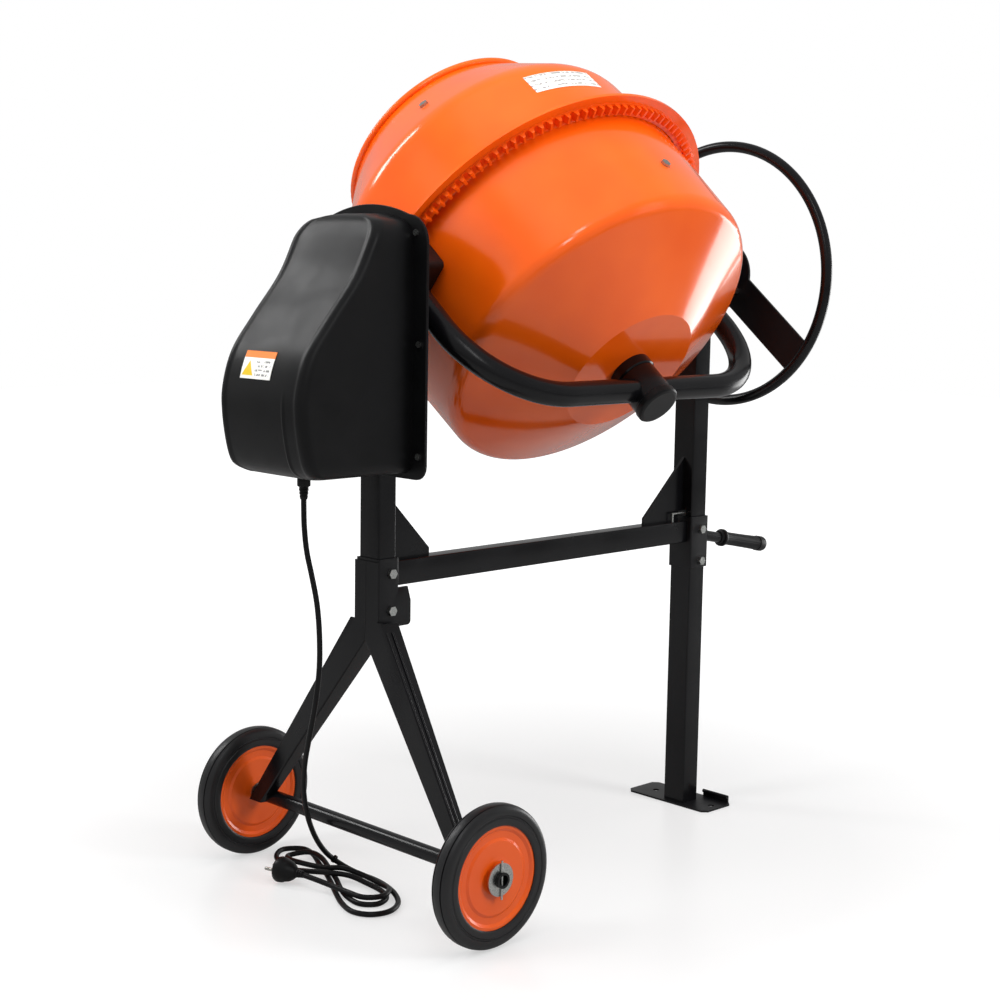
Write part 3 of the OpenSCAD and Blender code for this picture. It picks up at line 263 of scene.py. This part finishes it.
def cover_half(h):
    """Half of the shell's width at that height."""
    if h > top_at + top_r:
        return (half_width - top_r) * math.sqrt(max(top_at + top_r + arch - h, 0.0) / arch)
    if h > top_at:
        return half_width - top_r + math.sqrt(top_r ** 2 - (h - top_at) ** 2)
    if h < low_at:
        return half_width - low_r + math.sqrt(low_r ** 2 - (h - low_at) ** 2)
    return half_width


def cover_section(h):
    """One level of the shell, from the back edge on one side round to the other."""
    wide = cover_half(h)
    front = post_x - cover_reach(h)
    deep = flange_x - front
    corner = min(14.0, wide * 0.6, deep * 0.5)
    rib = 1.8 * min(max((-156 - h) / 40, 0), 1)
    line = [(flange_x, -wide), (flange_x - (deep - corner) * 0.5, -wide)]
    line += [(front + corner - corner * math.sin(math.radians(a)),
              -wide + corner - corner * math.cos(math.radians(a))) for a in range(0, 91, 10)]
    flat = wide - corner
    for k in range(1, 90):
        y = -flat + 2 * flat * k / 90
        crown = 2.2 * (y / wide) ** 2
        line.append((front + crown * min(1, (flat - abs(y)) / 6)
                     - rib * math.exp(-((y + 52) / 2.2) ** 2), y))
    line += [(front + corner - corner * math.sin(math.radians(a)),
              wide - corner + corner * math.cos(math.radians(a))) for a in range(90, -1, -10)]
    return line + [(flange_x - (deep - corner) * 0.5, wide), (flange_x, wide)]


levels = [-276, -275.5, -274, -271, -268, -264, -259, -253] + list(range(-246, 41, 6)) \
    + [45, 50, 55, 60, 64, 68, 71, 74, 76, 78, 79.5]
rings = [cover_section(h) for h in levels]
across = len(rings[0])
cover_verts = [(x * mm, y * mm, (tilt_z + h) * mm) for h, ring in zip(levels, rings)
               for x, y in ring]
cover_faces = [(k * across + i, k * across + i + 1, (k + 1) * across + i + 1, (k + 1) * across + i)
               for k in range(len(levels) - 1) for i in range(across - 1)]
cover_faces += [tuple(range(across)), tuple(range((len(levels) - 1) * across,
                                                  len(levels) * across))]
cover = add_piece("cover_shell", cover_verts, cover_faces, 50)
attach(cover, "stand")
print("cover levels:", len(levels), "points across:", across)

# %% [markdown]
# ## The cover's flange
# The shell ends in a flat flange that is screwed to the back plate. It is a thin
# plate with an arched top and rolled corners, so its outline is drawn once and
# pushed through, and a small round on its edges catches the light.

# %% Cover flange
def plate_outline(half, top, sag, low, r_top, r_low):
    y1, z1 = half - r_top, top - sag - r_top
    crown = [(y1 - 2 * y1 * i / 24, top - sag * ((y1 - 2 * y1 * i / 24) / y1) ** 2)
             for i in range(1, 24)]
    return (arc(half - r_low, low + r_low, r_low, -90, 0, 10) + arc(y1, z1, r_top, 0, 90, 16)
            + crown + arc(-y1, z1, r_top, 90, 180, 16)
            + arc(-half + r_low, low + r_low, r_low, 180, 270, 10))


def slab(name, outline, x0, x1):
    """An outline in (y, z) pushed through from x0 to x1, all in millimetres."""
    n = len(outline)
    verts = [(x * mm, y * mm, z * mm) for x in (x0, x1) for y, z in outline]
    faces = [tuple(range(n)), tuple(range(2 * n - 1, n - 1, -1))]
    faces += [(i, (i + 1) % n, n + (i + 1) % n, n + i) for i in range(n)]
    return add_piece(name, verts, faces)


flange = slab("cover_flange", plate_outline(121, 999, 14, 622, 40, 20), flange_x - 2, flange_x)
soften(flange, 0.8 * mm)
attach(flange, "stand")
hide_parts("motor_cover")
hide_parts("motor_cover")
print("flange points:", len(flange.data.vertices))

# %% [markdown]
# ## Strain relief
# Where the lead leaves the cover, a nut holds a tapered rubber sleeve. The sleeve
# is ribbed, so it bends a little everywhere instead of sharply in one place.

# %% Strain relief
relief_place = Matrix.Translation((-0.788, 0.050, 0.600))
relief_outline = [(0, 37), (8, 37), (8, 31), (9.4, 30.6), (10, 29.8), (10, 5.4), (9.6, 4.5),
                  (7.8, 4), (7.2, 3.2), (6.6, 2.6), (6.6, 0.8), (7, 0.2), (6.8, -1.8),
                  (6.1, -2.4), (6.1, -4.2), (6.5, -4.8), (6.3, -6.8), (5.6, -7.4), (5.6, -9.2),
                  (5.9, -9.8), (5.7, -11.8), (5.2, -12.4), (5.1, -14.3), (3.6, -14.3)]
relief = turned("lead_sleeve", relief_outline, 48, relief_place,
                lambda r, h, a: (r * mm * (1 - 0.06 * (r > 9) * abs(math.sin(3 * a))), h * mm))
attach(relief, "stand")
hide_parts("cord_gland")
print("sleeve length 51 mm, of which 19 mm tapers")

# %% [markdown]
# ## Pressed and welded steel
# The legs are strip folded into channels, and a fold is never sharp: its outside
# has a radius of about twice the strip. The engineering solids keep plain
# corners. So each piece here starts from its solid's own faces, and only the
# long outside folds are rounded, which leaves every hole and end where it was.

# %% Rounded folds
def folded(name, node, radius, least=10 * mm, body="stand"):
    """A piece with a solid's own faces, whose long outside edges are rounded."""
    work = bmesh.new()
    work.from_mesh(nodes[node].data)
    bmesh.ops.remove_doubles(work, verts=work.verts, dist=2e-6)
    bmesh.ops.dissolve_limit(work, angle_limit=math.radians(0.8), verts=work.verts,
                             edges=work.edges)
    folds = []
    for edge in work.edges:
        if len(edge.link_faces) == 2 and edge.calc_length() > 3 * least and edge.is_convex:
            widths = [face.calc_area() / edge.calc_length() for face in edge.link_faces]
            if edge.calc_face_angle() > math.radians(50) and min(widths) > least:
                folds.append(edge)
    if folds:
        bmesh.ops.bevel(work, geom=folds, offset=radius, segments=5, profile=0.5,
                        affect="EDGES", clamp_overlap=True)
    for edge in work.edges:
        edge.smooth = len(edge.link_faces) == 2 and edge.calc_face_angle() < math.radians(32)
    for face in work.faces:
        face.smooth = True
    data = bpy.data.meshes.new(name)
    work.to_mesh(data)
    work.free()
    piece = bpy.data.objects.new(name, data)
    bpy.context.collection.objects.link(piece)
    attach(piece, body)
    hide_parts(node)
    print(name, "folds rounded:", len(folds))
    return piece


leg_pieces = [folded("pressed_leg_near", "leg_near", 5 * mm),
              folded("pressed_leg_far", "leg_far", 5 * mm)]


leg_x, leg_y, leg_z = -712.2, 34, 410
leg_spread, leg_drop, leg_lean = 216, 318, math.radians(3.8)
bead_sink = 0.5


def on_leg(side, down, deep):
    """A point on a leg's outer flange: how far down it, and how deep from the web."""
    y, z = leg_y + leg_spread * down, -leg_drop * down
    return Vector(((leg_x + deep * math.cos(leg_lean) + z * math.sin(leg_lean)) * mm,
                   side * (y - bead_sink) * mm,
                   (leg_z - deep * math.sin(leg_lean) + z * math.cos(leg_lean)) * mm))


bead_pieces = []
for side, name in ((-1, "near"), (1, "far")):
    for order, (top, low) in enumerate(((2.0, 1.5), (13.0, 9.0))):
        line = [on_leg(side, 0.04 + 0.9 * k / 8, top + (low - top) * k / 8) for k in range(9)]
        bead = tube("leg_bead_%s_%d" % (name, order), line, 2.2 * mm, 4)
        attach(bead, "stand")
        bead_pieces.append(bead)
post_pieces = [folded("motor_side_post", "motor_post", 2.4 * mm),
               folded("foot_side_post", "foot_post", 2.4 * mm),
               folded("frame_beam", "cross_beam", 2.4 * mm)]
sheet_pieces = [folded("post_bracket_left", "left_bracket", 2.6 * mm),
                folded("post_bracket_right", "right_bracket", 2.6 * mm),
                folded("floor_plate", "foot_plate", 0.9 * mm, 2.5 * mm)]

# %% [markdown]
# ## Tyres
# Solid rubber tyres, cured in a two-part mould. The tread has two thin grooves,
# and a raised ring on each side wall protects it from kerbs. They are turned
# from one outline, drawn with the small steps that the mould leaves.

# %% Tyres
disc_low, disc_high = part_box("near_wheel")
disc_r = (disc_high[2] - disc_low[2]) / 2 / mm
tyre_r = (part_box("near_tyre")[1][2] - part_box("near_tyre")[0][2]) / 2 / mm
half = (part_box("near_tyre")[1][1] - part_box("near_tyre")[0][1]) / 2 / mm
side_of_tyre = [(disc_r, half - 1.6), (disc_r + 1, half - 0.5), (disc_r + 4, half),
                (tyre_r - 18, half), (tyre_r - 17, half - 1.3), (tyre_r - 15, half - 1.5),
                (tyre_r - 14, half - 0.3), (tyre_r - 10, half - 0.2), (tyre_r - 7, half - 0.9),
                (tyre_r - 4.2, half - 2.4), (tyre_r - 2.2, half - 4.4), (tyre_r - 1.0, half - 6.6),
                (tyre_r - 2.4, half - 7), (tyre_r - 2.4, half - 8.2), (tyre_r - 0.6, half - 8.6),
                (tyre_r - 0.1, half - 10.6), (tyre_r, half - 14)]
tyre_outline = side_of_tyre + [(r, -h) for r, h in side_of_tyre[::-1]] + side_of_tyre[:1]
tyre_pieces = []
for side in ("near", "far"):
    place = Matrix.Translation(middle(side + "_tyre")) @ Matrix.Rotation(math.pi / 2, 4, "X")
    piece = turned(side + "_rubber_tyre", [(r * mm, h * mm) for r, h in tyre_outline], 96, place)
    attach(piece, "wheel_" + side)
    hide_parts(side + "_tyre")
    tyre_pieces.append(piece)
print("tyre radius", round(tyre_r, 1), "half width", round(half, 1))

# %% [markdown]
# ## The push handle's grip
# A soft sleeve with a stop ring next to the post, pushed on to the tube. Shallow
# flutes run along it for the fingers, and a plug closes its end.

# %% Grip
droop = math.radians(11)
tube_start, tube_z, grip_length = 24.5, 465, 127
grip_place = Matrix.Translation((tube_start * mm, 0, tube_z * mm)) @ Matrix.Rotation(
    math.pi / 2 + droop, 4, "Y")
grip_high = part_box("handle_grip")[1]
grip_end = (grip_high[0] / mm - tube_start) / math.cos(droop) - 2.2
grip_start = grip_end - grip_length
grip_outline = [(9.3, 0), (10.4, 0), (11, 0.8), (11, 6.6), (14, 7.2), (15, 8.2), (15, 12),
                (14, 13.4), (11.6, 14.4), (11.3, 18), (11.3, 40), (11.7, 74), (12.2, 104),
                (12.4, 107.4), (11.9, 108), (11.9, 109.2), (13.2, 110), (13.2, 122.6),
                (12.2, 125.6), (10.2, 127), (4, 127), (3.4, 126.2), (0, 126.2)]


def flutes(r, h, a):
    along = min(max((h - 17) / 5, 0), 1) * min(max((105 - h) / 5, 0), 1)
    return (r - 0.45 * along * (0.5 + 0.5 * math.cos(16 * a))) * mm, (h + grip_start) * mm


grip = turned("push_grip", grip_outline, 96, grip_place, flutes)
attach(grip, "stand")
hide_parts("handle_grip")
print("grip from", round(grip_start, 1), "to", round(grip_end, 1), "mm along the tube")

# %% [markdown]
# ## Colours and the node helper
# Colours are written the way a paint card gives them, as hex, and one function
# turns them into the linear light that the renderer adds up. One small function
# adds any node: lower-case keys are the node's settings, the rest its sockets.

# %% Colour and node helpers
def paint(hex_code):
    """sRGB hex to linear RGBA."""
    parts = [int(hex_code[i:i + 2], 16) / 255 for i in (1, 3, 5)]
    return (*[c / 12.92 if c <= 0.04045 else ((c + 0.055) / 1.055) ** 2.4 for c in parts], 1)


def add(material, kind, values=None, links=None):
    """Adds one node, with its settings and the sockets that feed it."""
    node = material.node_tree.nodes.new("ShaderNode" + kind)
    for key, value in (values or {}).items():
        if isinstance(key, str) and key.islower():
            setattr(node, key, value)
        else:
            node.inputs[key].default_value = value
    for key, source in (links or {}).items():
        material.node_tree.links.new(source, node.inputs[key])
    return node


def finish_named(name, values):
    """A new material with its shader's fixed values."""
    material = bpy.data.materials.new(name)
    material.use_nodes = True
    shader = material.node_tree.nodes["Principled BSDF"]
    for key, value in values.items():
        shader.inputs[key].default_value = value
    return material, shader


def feed(material, shader, sockets):
    for key, source in sockets.items():
        material.node_tree.links.new(source, shader.inputs[key])


def shades(material, factor, stops):
    """A colour ramp from a factor, with (position, hex) stops."""
    ramp = add(material, "ValToRGB", links={"Fac": factor})
    line = ramp.color_ramp
    while len(line.elements) < len(stops):
        line.elements.new(0.5)
    for element, (place, colour) in zip(line.elements, stops):
        element.position = place
        element.color = paint(colour)
    return ramp.outputs["Color"]


print("orange in linear light:", [round(c, 3) for c in paint("#EE5A16")])

# %% [markdown]
# ## Stove enamel on the drum
# The drum is spun from mild steel sheet and sprayed with alkyd enamel, then
# baked. That gives a hard gloss skin with a faint orange-peel ripple a few
# millimetres across, so reflections of the lamps wobble slightly. Sheet spun on
# a former also keeps broad soft waves, 60 to 90 mm across.

# %% Orange stove enamel
def orange_enamel(name, deep, fresh, rough):
    material, shader = finish_named(name, {"Roughness": rough, "IOR": 1.5,
                                           "Coat Weight": 0.35, "Coat Roughness": 0.05})
    place = add(material, "TexCoord").outputs["Object"]
    broad = add(material, "TexNoise", {"Scale": 9, "Detail": 2}, {"Vector": place})
    peel = add(material, "TexNoise", {"Scale": 380, "Detail": 1}, {"Vector": place})
    wave = add(material, "TexNoise", {"Scale": 14, "Detail": 0}, {"Vector": place})
    colour = shades(material, broad.outputs["Fac"], [(0.3, deep), (0.7, fresh)])
    gloss = add(material, "MapRange", {"From Min": 0.3, "From Max": 0.7,
                                       "To Min": rough, "To Max": rough + 0.07},
                {"Value": broad.outputs["Fac"]})
    soft = add(material, "Bump", {"Strength": 0.25, "Distance": 0.0012},
               {"Height": wave.outputs["Fac"]})
    skin = add(material, "Bump", {"Strength": 0.05, "Distance": 0.0004},
               {"Height": peel.outputs["Fac"], "Normal": soft.outputs["Normal"]})
    feed(material, shader, {"Base Color": colour, "Roughness": gloss.outputs["Result"],
                            "Normal": skin.outputs["Normal"]})
    return material


drum_enamel = orange_enamel("orange_stove_enamel", "#F05A08", "#F9640A", 0.13)
gear_enamel = orange_enamel("orange_enamel_on_cast_gear", "#EE5506", "#F85E08", 0.30)
wheel_enamel = orange_enamel("orange_enamel_on_pressed_disc", "#EA560A", "#F25E0C", 0.34)
print(drum_enamel.name, gear_enamel.name, wheel_enamel.name)

# %% [markdown]
# ## Black powder coat
# Posts, beam, legs and yoke are powder coated: dry paint melted into a skin.
# The skin is thick and keeps a ripple of its own, 1 to 3 mm across, and it is a
# half gloss. Sheet parts get a flatter grade that hides press marks.

# %% Black powder coats
def powder_coat(name, base, fleck, rough, grain, depth):
    material, shader = finish_named(name, {"Roughness": rough, "IOR": 1.5,
                                           "Specular IOR Level": 0.30})
    place = add(material, "TexCoord").outputs["Object"]
    ripple = add(material, "TexNoise", {"Scale": 1 / grain, "Detail": 2}, {"Vector": place})
    haze = add(material, "TexNoise", {"Scale": 12, "Detail": 4}, {"Vector": place})
    colour = shades(material, haze.outputs["Fac"], [(0.35, base), (0.75, fleck)])
    gloss = add(material, "MapRange", {"From Min": 0.3, "From Max": 0.7,
                                       "To Min": rough - 0.04, "To Max": rough + 0.09},
                {"Value": haze.outputs["Fac"]})
    skin = add(material, "Bump", {"Strength": depth, "Distance": 0.0005},
               {"Height": ripple.outputs["Fac"]})
    feed(material, shader, {"Base Color": colour, "Roughness": gloss.outputs["Result"],
                            "Normal": skin.outputs["Normal"]})
    return material


gloss_black = powder_coat("black_gloss_powder_coat", "#09090B", "#0F0F11", 0.20, 0.0025, 0.10)
satin_black = powder_coat("black_satin_powder_coat", "#0B0B0D", "#111113", 0.34, 0.0012, 0.18)
print(gloss_black.name, satin_black.name)

# %% [markdown]
# ## Moulded motor cover
# The cover is ABS, injection moulded with a spark-eroded texture. The texture is
# finer than a millimetre and scatters light, so the cover shows wide soft
# highlights and no sharp ones. It is drawn slightly coarse so that it shows.

# %% ABS, rubber and PVC
def moulded(name, base, light, rough, grain, depth, **more):
    material, shader = finish_named(name, {"Roughness": rough, "IOR": 1.53, **more})
    print("moulded finish:", name)
    place = add(material, "TexCoord").outputs["Object"]
    spark = add(material, "TexNoise", {"Scale": 1 / grain, "Detail": 3, "Roughness": 0.6},
                {"Vector": place})
    cloud = add(material, "TexNoise", {"Scale": 20, "Detail": 3}, {"Vector": place})
    colour = shades(material, cloud.outputs["Fac"], [(0.3, base), (0.75, light)])
    gloss = add(material, "MapRange", {"From Min": 0.3, "From Max": 0.7,
                                       "To Min": rough - 0.05, "To Max": rough + 0.06},
                {"Value": cloud.outputs["Fac"]})
    skin = add(material, "Bump", {"Strength": depth, "Distance": 0.0003},
               {"Height": spark.outputs["Fac"]})
    feed(material, shader, {"Base Color": colour, "Roughness": gloss.outputs["Result"],
                            "Normal": skin.outputs["Normal"]})
    return material


dull = {"Specular IOR Level": 0.2}
cover_abs = moulded("black_spark_textured_abs", "#0C0C0D", "#101011", 0.38, 0.0009, 0.22, **dull)
plug_pvc = moulded("black_moulded_pvc", "#0B0B0C", "#111112", 0.35, 0.0008, 0.10, **dull)
lead_pvc = moulded("black_rubber_sheath", "#0A0A0B", "#111112", 0.36, 0.0011, 0.12, **dull)
tyre_rubber = moulded("solid_black_tyre_rubber", "#121213", "#19191B", 0.36, 0.0012, 0.20,
                      **{"Specular IOR Level": 0.45})
grip_rubber = moulded("black_grip_rubber", "#0D0D0E", "#141415", 0.45, 0.0010, 0.20, **dull)
belt_rubber = moulded("ribbed_belt_rubber", "#101010", "#181818", 0.60, 0.0010, 0.30, **dull)
red_abs = moulded("red_moulded_button", "#B5140F", "#C41B14", 0.30, 0.0010, 0.10)
green_abs = moulded("green_moulded_button", "#1B7A32", "#23893B", 0.30, 0.0010, 0.10)
capacitor_abs = moulded("white_moulded_capacitor", "#D2D2CC", "#DEDEDA", 0.35, 0.0010, 0.10)

# %% [markdown]
# ## Bare and plated metal
# Bolts and washers are zinc plated: pale grey with small spangles and a faint
# blue or yellow tint. Shafts are turned, so their roughness runs in fine rings.
# Castings are darker and rougher. A metal keeps the shader's own IOR.

# %% Zinc, turned steel, cast iron
def bare_metal(name, dark, light, rough, spread, grain, depth, stretch=(1, 1, 1)):
    material, shader = finish_named(name, {"Metallic": 1.0, "Roughness": rough})
    place = add(material, "TexCoord").outputs["Object"]
    along = add(material, "Mapping", {"Scale": stretch}, {"Vector": place})
    cells = add(material, "TexNoise", {"Scale": 1 / grain, "Detail": 4},
                {"Vector": along.outputs["Vector"]})
    colour = shades(material, cells.outputs["Fac"], [(0.3, dark), (0.7, light)])
    gloss = add(material, "MapRange", {"From Min": 0.3, "From Max": 0.7,
                                       "To Min": rough, "To Max": rough + spread},
                {"Value": cells.outputs["Fac"]})
    skin = add(material, "Bump", {"Strength": depth, "Distance": 0.0002},
               {"Height": cells.outputs["Fac"]})
    feed(material, shader, {"Base Color": colour, "Roughness": gloss.outputs["Result"],
                            "Normal": skin.outputs["Normal"]})
    return material


zinc = bare_metal("zinc_plated_steel", "#A9ABA8", "#C9CBC8", 0.24, 0.14, 0.002, 0.08)
turned_steel = bare_metal("turned_mild_steel", "#8E8F90", "#ABACAD", 0.28, 0.12, 0.001, 0.10,
                          (12, 1, 1))
cast_iron = bare_metal("machined_cast_iron", "#5E5F60", "#7A7B7C", 0.42, 0.16, 0.0015, 0.25)
mixing_steel = bare_metal("rolled_steel_strip", "#6A6B6D", "#8D8E90", 0.36, 0.16, 0.004, 0.10)
cast_aluminium = bare_metal("die_cast_aluminium", "#A4A6A8", "#B8BABC", 0.45, 0.12, 0.0015, 0.20)
pin_brass = bare_metal("nickel_plated_brass", "#A9A8A2", "#C6C4BC", 0.20, 0.10, 0.001, 0.05)
print("metals: 6")

# %% [markdown]
# ## Printed labels
# Vinyl labels, printed and laminated. The warning label has an orange head, a
# yellow triangle and a few lines; the drum's has lines only. The lines are plain
# grey dashes, cut out of waves by a threshold. Everything is worked out from
# where a point lies on the machine, in metres.

# %% Label print
def sums(material, kind, first, second):
    """One step of arithmetic between two values or sockets."""
    node = add(material, "Math", {"operation": kind})
    for socket, item in zip(node.inputs, (first, second)):
        if isinstance(item, (int, float)):
            socket.default_value = item
        else:
            material.node_tree.links.new(item, socket)
    return node.outputs[0]


def printed(material, base, ink, where):
    """Lays one ink over a colour where the value is 1."""
    mix = add(material, "Mix", {"data_type": "RGBA"})
    mix.inputs[6].default_value = paint("#F2F1EC")
    mix.inputs[7].default_value = paint(ink)
    if base is not None:
        material.node_tree.links.new(base, mix.inputs[6])
    material.node_tree.links.new(where, mix.inputs[0])
    return mix.outputs[2]


def dashes(material, field, rows, pitch, place):
    """Grey lines at a pitch inside a field, broken up by a noise."""
    wave = sums(material, "SINE", sums(material, "MULTIPLY", rows, 2 * math.pi / pitch), 0)
    words = add(material, "TexNoise", {"Scale": 260, "Detail": 0}, {"Vector": place})
    line = sums(material, "GREATER_THAN", wave, 0.1)
    return sums(material, "MULTIPLY", sums(material, "MULTIPLY", line, field),
                sums(material, "GREATER_THAN", words.outputs["Fac"], 0.45))


def within(material, value, low, high):
    return sums(material, "MULTIPLY", sums(material, "GREATER_THAN", value, low),
                sums(material, "LESS_THAN", value, high))


warn_low, warn_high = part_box("warning_label")
warning_vinyl, warn_shader = finish_named("printed_vinyl_warning_label", {"Roughness": 0.32})
spot = add(warning_vinyl, "TexCoord").outputs["Object"]
split = add(warning_vinyl, "SeparateXYZ", links={"Vector": spot})
wide = warn_high[1] - warn_low[1]
tall = warn_high[2] - warn_low[2]
u = sums(warning_vinyl, "DIVIDE", sums(warning_vinyl, "SUBTRACT", warn_high[1],
                                       split.outputs["Y"]), wide)
v = sums(warning_vinyl, "DIVIDE", sums(warning_vinyl, "SUBTRACT", split.outputs["Z"],
                                       warn_low[2]), tall)
head = sums(warning_vinyl, "GREATER_THAN", v, 0.76)
slope = sums(warning_vinyl, "MULTIPLY", sums(warning_vinyl, "SUBTRACT", 0.66, v), 0.34)
offset = sums(warning_vinyl, "ABSOLUTE", sums(warning_vinyl, "SUBTRACT", u, 0.22), 0)
sign = sums(warning_vinyl, "MULTIPLY", sums(warning_vinyl, "LESS_THAN", offset, slope),
            sums(warning_vinyl, "GREATER_THAN", v, 0.12))
body = sums(warning_vinyl, "MULTIPLY", within(warning_vinyl, u, 0.45, 0.93),
            within(warning_vinyl, v, 0.08, 0.68))
warn_ink = printed(warning_vinyl, None, "#8A8A88",
                   dashes(warning_vinyl, body, split.outputs["Z"], 0.0058, spot))
warn_ink = printed(warning_vinyl, warn_ink, "#E6C32A", sign)
warn_ink = printed(warning_vinyl, warn_ink, "#F07D28", head)
feed(warning_vinyl, warn_shader, {"Base Color": warn_ink})

drum_vinyl, drum_label_shader = finish_named("printed_vinyl_drum_label", {"Roughness": 0.30})
drum_axis = (0, 0.77051, 0.63742)
drum_spot = add(drum_vinyl, "TexCoord").outputs["Object"]
axis_dot = add(drum_vinyl, "VectorMath", {"operation": "DOT_PRODUCT"}, {0: drum_spot})
axis_dot.inputs[1].default_value = drum_axis
drum_ink = printed(drum_vinyl, None, "#9C9A97",
                   dashes(drum_vinyl, 1.0, axis_dot.outputs["Value"], 0.0095, drum_spot))
feed(drum_vinyl, drum_label_shader, {"Base Color": drum_ink})
print("labels:", round(wide / mm), "x", round(tall / mm), "mm and the drum's")

# %% Finish every carried-over node
finishes = {
    gloss_black: ["motor_post", "foot_post", "cross_beam", "gussets", "leg_near", "leg_far",
                  "axle", "handle_tube", "yoke_tube", "pinion_bearing_tube", "yoke_hub",
                  "handwheel_rim", "drum_spindle"],
    satin_black: ["left_bracket", "right_bracket", "foot_plate", "left_bearing_block",
                  "back_plate", "pinion_guard", "handwheel_spoke"],
    zinc: ["frame_bolts", "wheel_retainers", "cover_screws", "pivot_shaft", "pivot_nut",
           "handwheel_hub", "drum_bolts", "beam_pin"],
    warning_vinyl: ["warning_label"],
    drum_vinyl: ["drum_label"],
    turned_steel: ["right_bearing_bush", "locking_disc", "motor_mount", "motor_shaft",
                   "ball_bearings", "pinion_shaft"],
    cast_iron: ["pinion_gear", "drive_pulley"],
    mixing_steel: ["mixing_blades"],
    cast_aluminium: ["motor_body"],
    pin_brass: ["plug_pins"],
    drum_enamel: ["drum_lower", "drum_upper"],
    gear_enamel: ["ring_gear"],
    wheel_enamel: ["near_wheel", "far_wheel"],
    tyre_rubber: ["near_tyre", "far_tyre"],
    grip_rubber: ["handle_grip"],
    cover_abs: ["motor_cover", "switch_body", "cord_gland"],
    plug_pvc: ["hub_cap", "cord_tie", "mains_plug"],
    lead_pvc: ["mains_cord"],
    belt_rubber: ["drive_belt"],
    red_abs: ["stop_button"],
    green_abs: ["start_button"],
    capacitor_abs: ["run_capacitor"],
}
for material, names in finishes.items():
    for name in names:
        data = nodes[name].data
        data.materials.clear()
        data.materials.append(material)
made = {
    lead_pvc: [lead],
    plug_pvc: [plug, relief],
    cover_abs: [cover, flange],
    gloss_black: leg_pieces + bead_pieces + post_pieces,
    satin_black: sheet_pieces,
    tyre_rubber: tyre_pieces,
    grip_rubber: [grip],
}
for material, pieces in made.items():
    for piece in pieces:
        piece.data.materials.clear()
        piece.data.materials.append(material)
print("finished", sum(len(n) for n in finishes.values()), "of", len(nodes))

# %% [markdown]
# ## Studio
# A pale floor, a white surround and six lamps. Three large soft boxes, left, right
# and overhead, give the light but are hidden from reflections, because on gloss
# enamel they would wash out the orange. Two windows and a strip are smaller and
# do show in it. The floor and the surround glow more for the camera than for the
# machine, so the background is white and the black paint still looks black.

# %% Floor and surround
floor_data = bpy.data.meshes.new("floor")
floor_data.from_pydata([(-9, -9, 0), (9, -9, 0), (9, 9, 0), (-9, 9, 0)], [], [(0, 1, 2, 3)])
floor = bpy.data.objects.new("floor", floor_data)
bpy.context.collection.objects.link(floor)
floor.location.z = -0.0005
floor_white, floor_shader = finish_named("white_studio_floor", {
    "Base Color": paint("#A2A2A2"), "Roughness": 0.32, "Emission Color": (1, 1, 1, 1)})
floor_place = add(floor_white, "TexCoord").outputs["Object"]
away = add(floor_white, "VectorMath", {"operation": "DISTANCE"}, {0: floor_place})
away.inputs[1].default_value = (-0.35, 0, 0)
lift = add(floor_white, "MapRange", {"From Min": 0.5, "From Max": 2.2, "To Min": 0.52,
                                     "To Max": 1.0}, {"Value": away.outputs["Value"]})
seen = add(floor_white, "LightPath").outputs["Is Camera Ray"]
share = add(floor_white, "MapRange", {"To Min": 0.08, "To Max": 1.0}, {"Value": seen})
glow = add(floor_white, "Math", {"operation": "MULTIPLY"}, {
    0: lift.outputs["Result"], 1: share.outputs["Result"]})
feed(floor_white, floor_shader, {"Emission Strength": glow.outputs["Value"]})
floor_data.materials.append(floor_white)

world = bpy.data.worlds.new("studio")
bpy.context.scene.world = world
world.use_nodes = True
backdrop = world.node_tree.nodes["Background"]
backdrop.inputs["Color"].default_value = (1, 1, 1, 1)
rays = world.node_tree.nodes.new("ShaderNodeLightPath")
mirrored = world.node_tree.nodes.new("ShaderNodeMapRange")
mirrored.inputs["To Min"].default_value = 0.10
mirrored.inputs["To Max"].default_value = 0.42
level_mix = world.node_tree.nodes.new("ShaderNodeMapRange")
level_mix.inputs["To Max"].default_value = 1.0
world.node_tree.links.new(rays.outputs["Is Glossy Ray"], mirrored.inputs["Value"])
world.node_tree.links.new(mirrored.outputs["Result"], level_mix.inputs["To Min"])
world.node_tree.links.new(rays.outputs["Is Camera Ray"], level_mix.inputs["Value"])
world.node_tree.links.new(level_mix.outputs["Result"], backdrop.inputs["Strength"])
bpy.context.scene.view_settings.view_transform = "Standard"
bpy.context.scene.view_settings.look = "None"


# %% Soft boxes
def soft_box(name, place, aim, width, height, power, mirrored=False):
    light = bpy.data.lights.new(name, "AREA")
    light.shape = "RECTANGLE"
    light.size = width
    light.size_y = height
    light.energy = power
    lamp = bpy.data.objects.new(name, light)
    bpy.context.collection.objects.link(lamp)
    lamp.location = place
    lamp.visible_glossy = mirrored
    lamp.rotation_euler = (Vector(aim) - Vector(place)).to_track_quat("-Z", "Y").to_euler()


drum_middle = middle("drum_lower")
soft_box("box_left", (-2.9, 0.9, 1.9), drum_middle, 1.0, 2.0, 46)
soft_box("box_right", (0.7, -2.7, 1.9), drum_middle, 0.9, 1.8, 62)
soft_box("box_top", (-0.9, -0.5, 3.2), drum_middle, 2.4, 2.4, 74)
soft_box("window_left", (-1.55, 2.6, 2.6), drum_middle, 0.5, 1.5, 24, True)
soft_box("window_right", (2.6, -0.5, 0.5), drum_middle, 1.3, 1.1, 22, True)
soft_box("strip", (-2.1, -1.9, 2.8), drum_middle, 0.3, 1.6, 9, True)
print("lamps: 6, floor and surround")
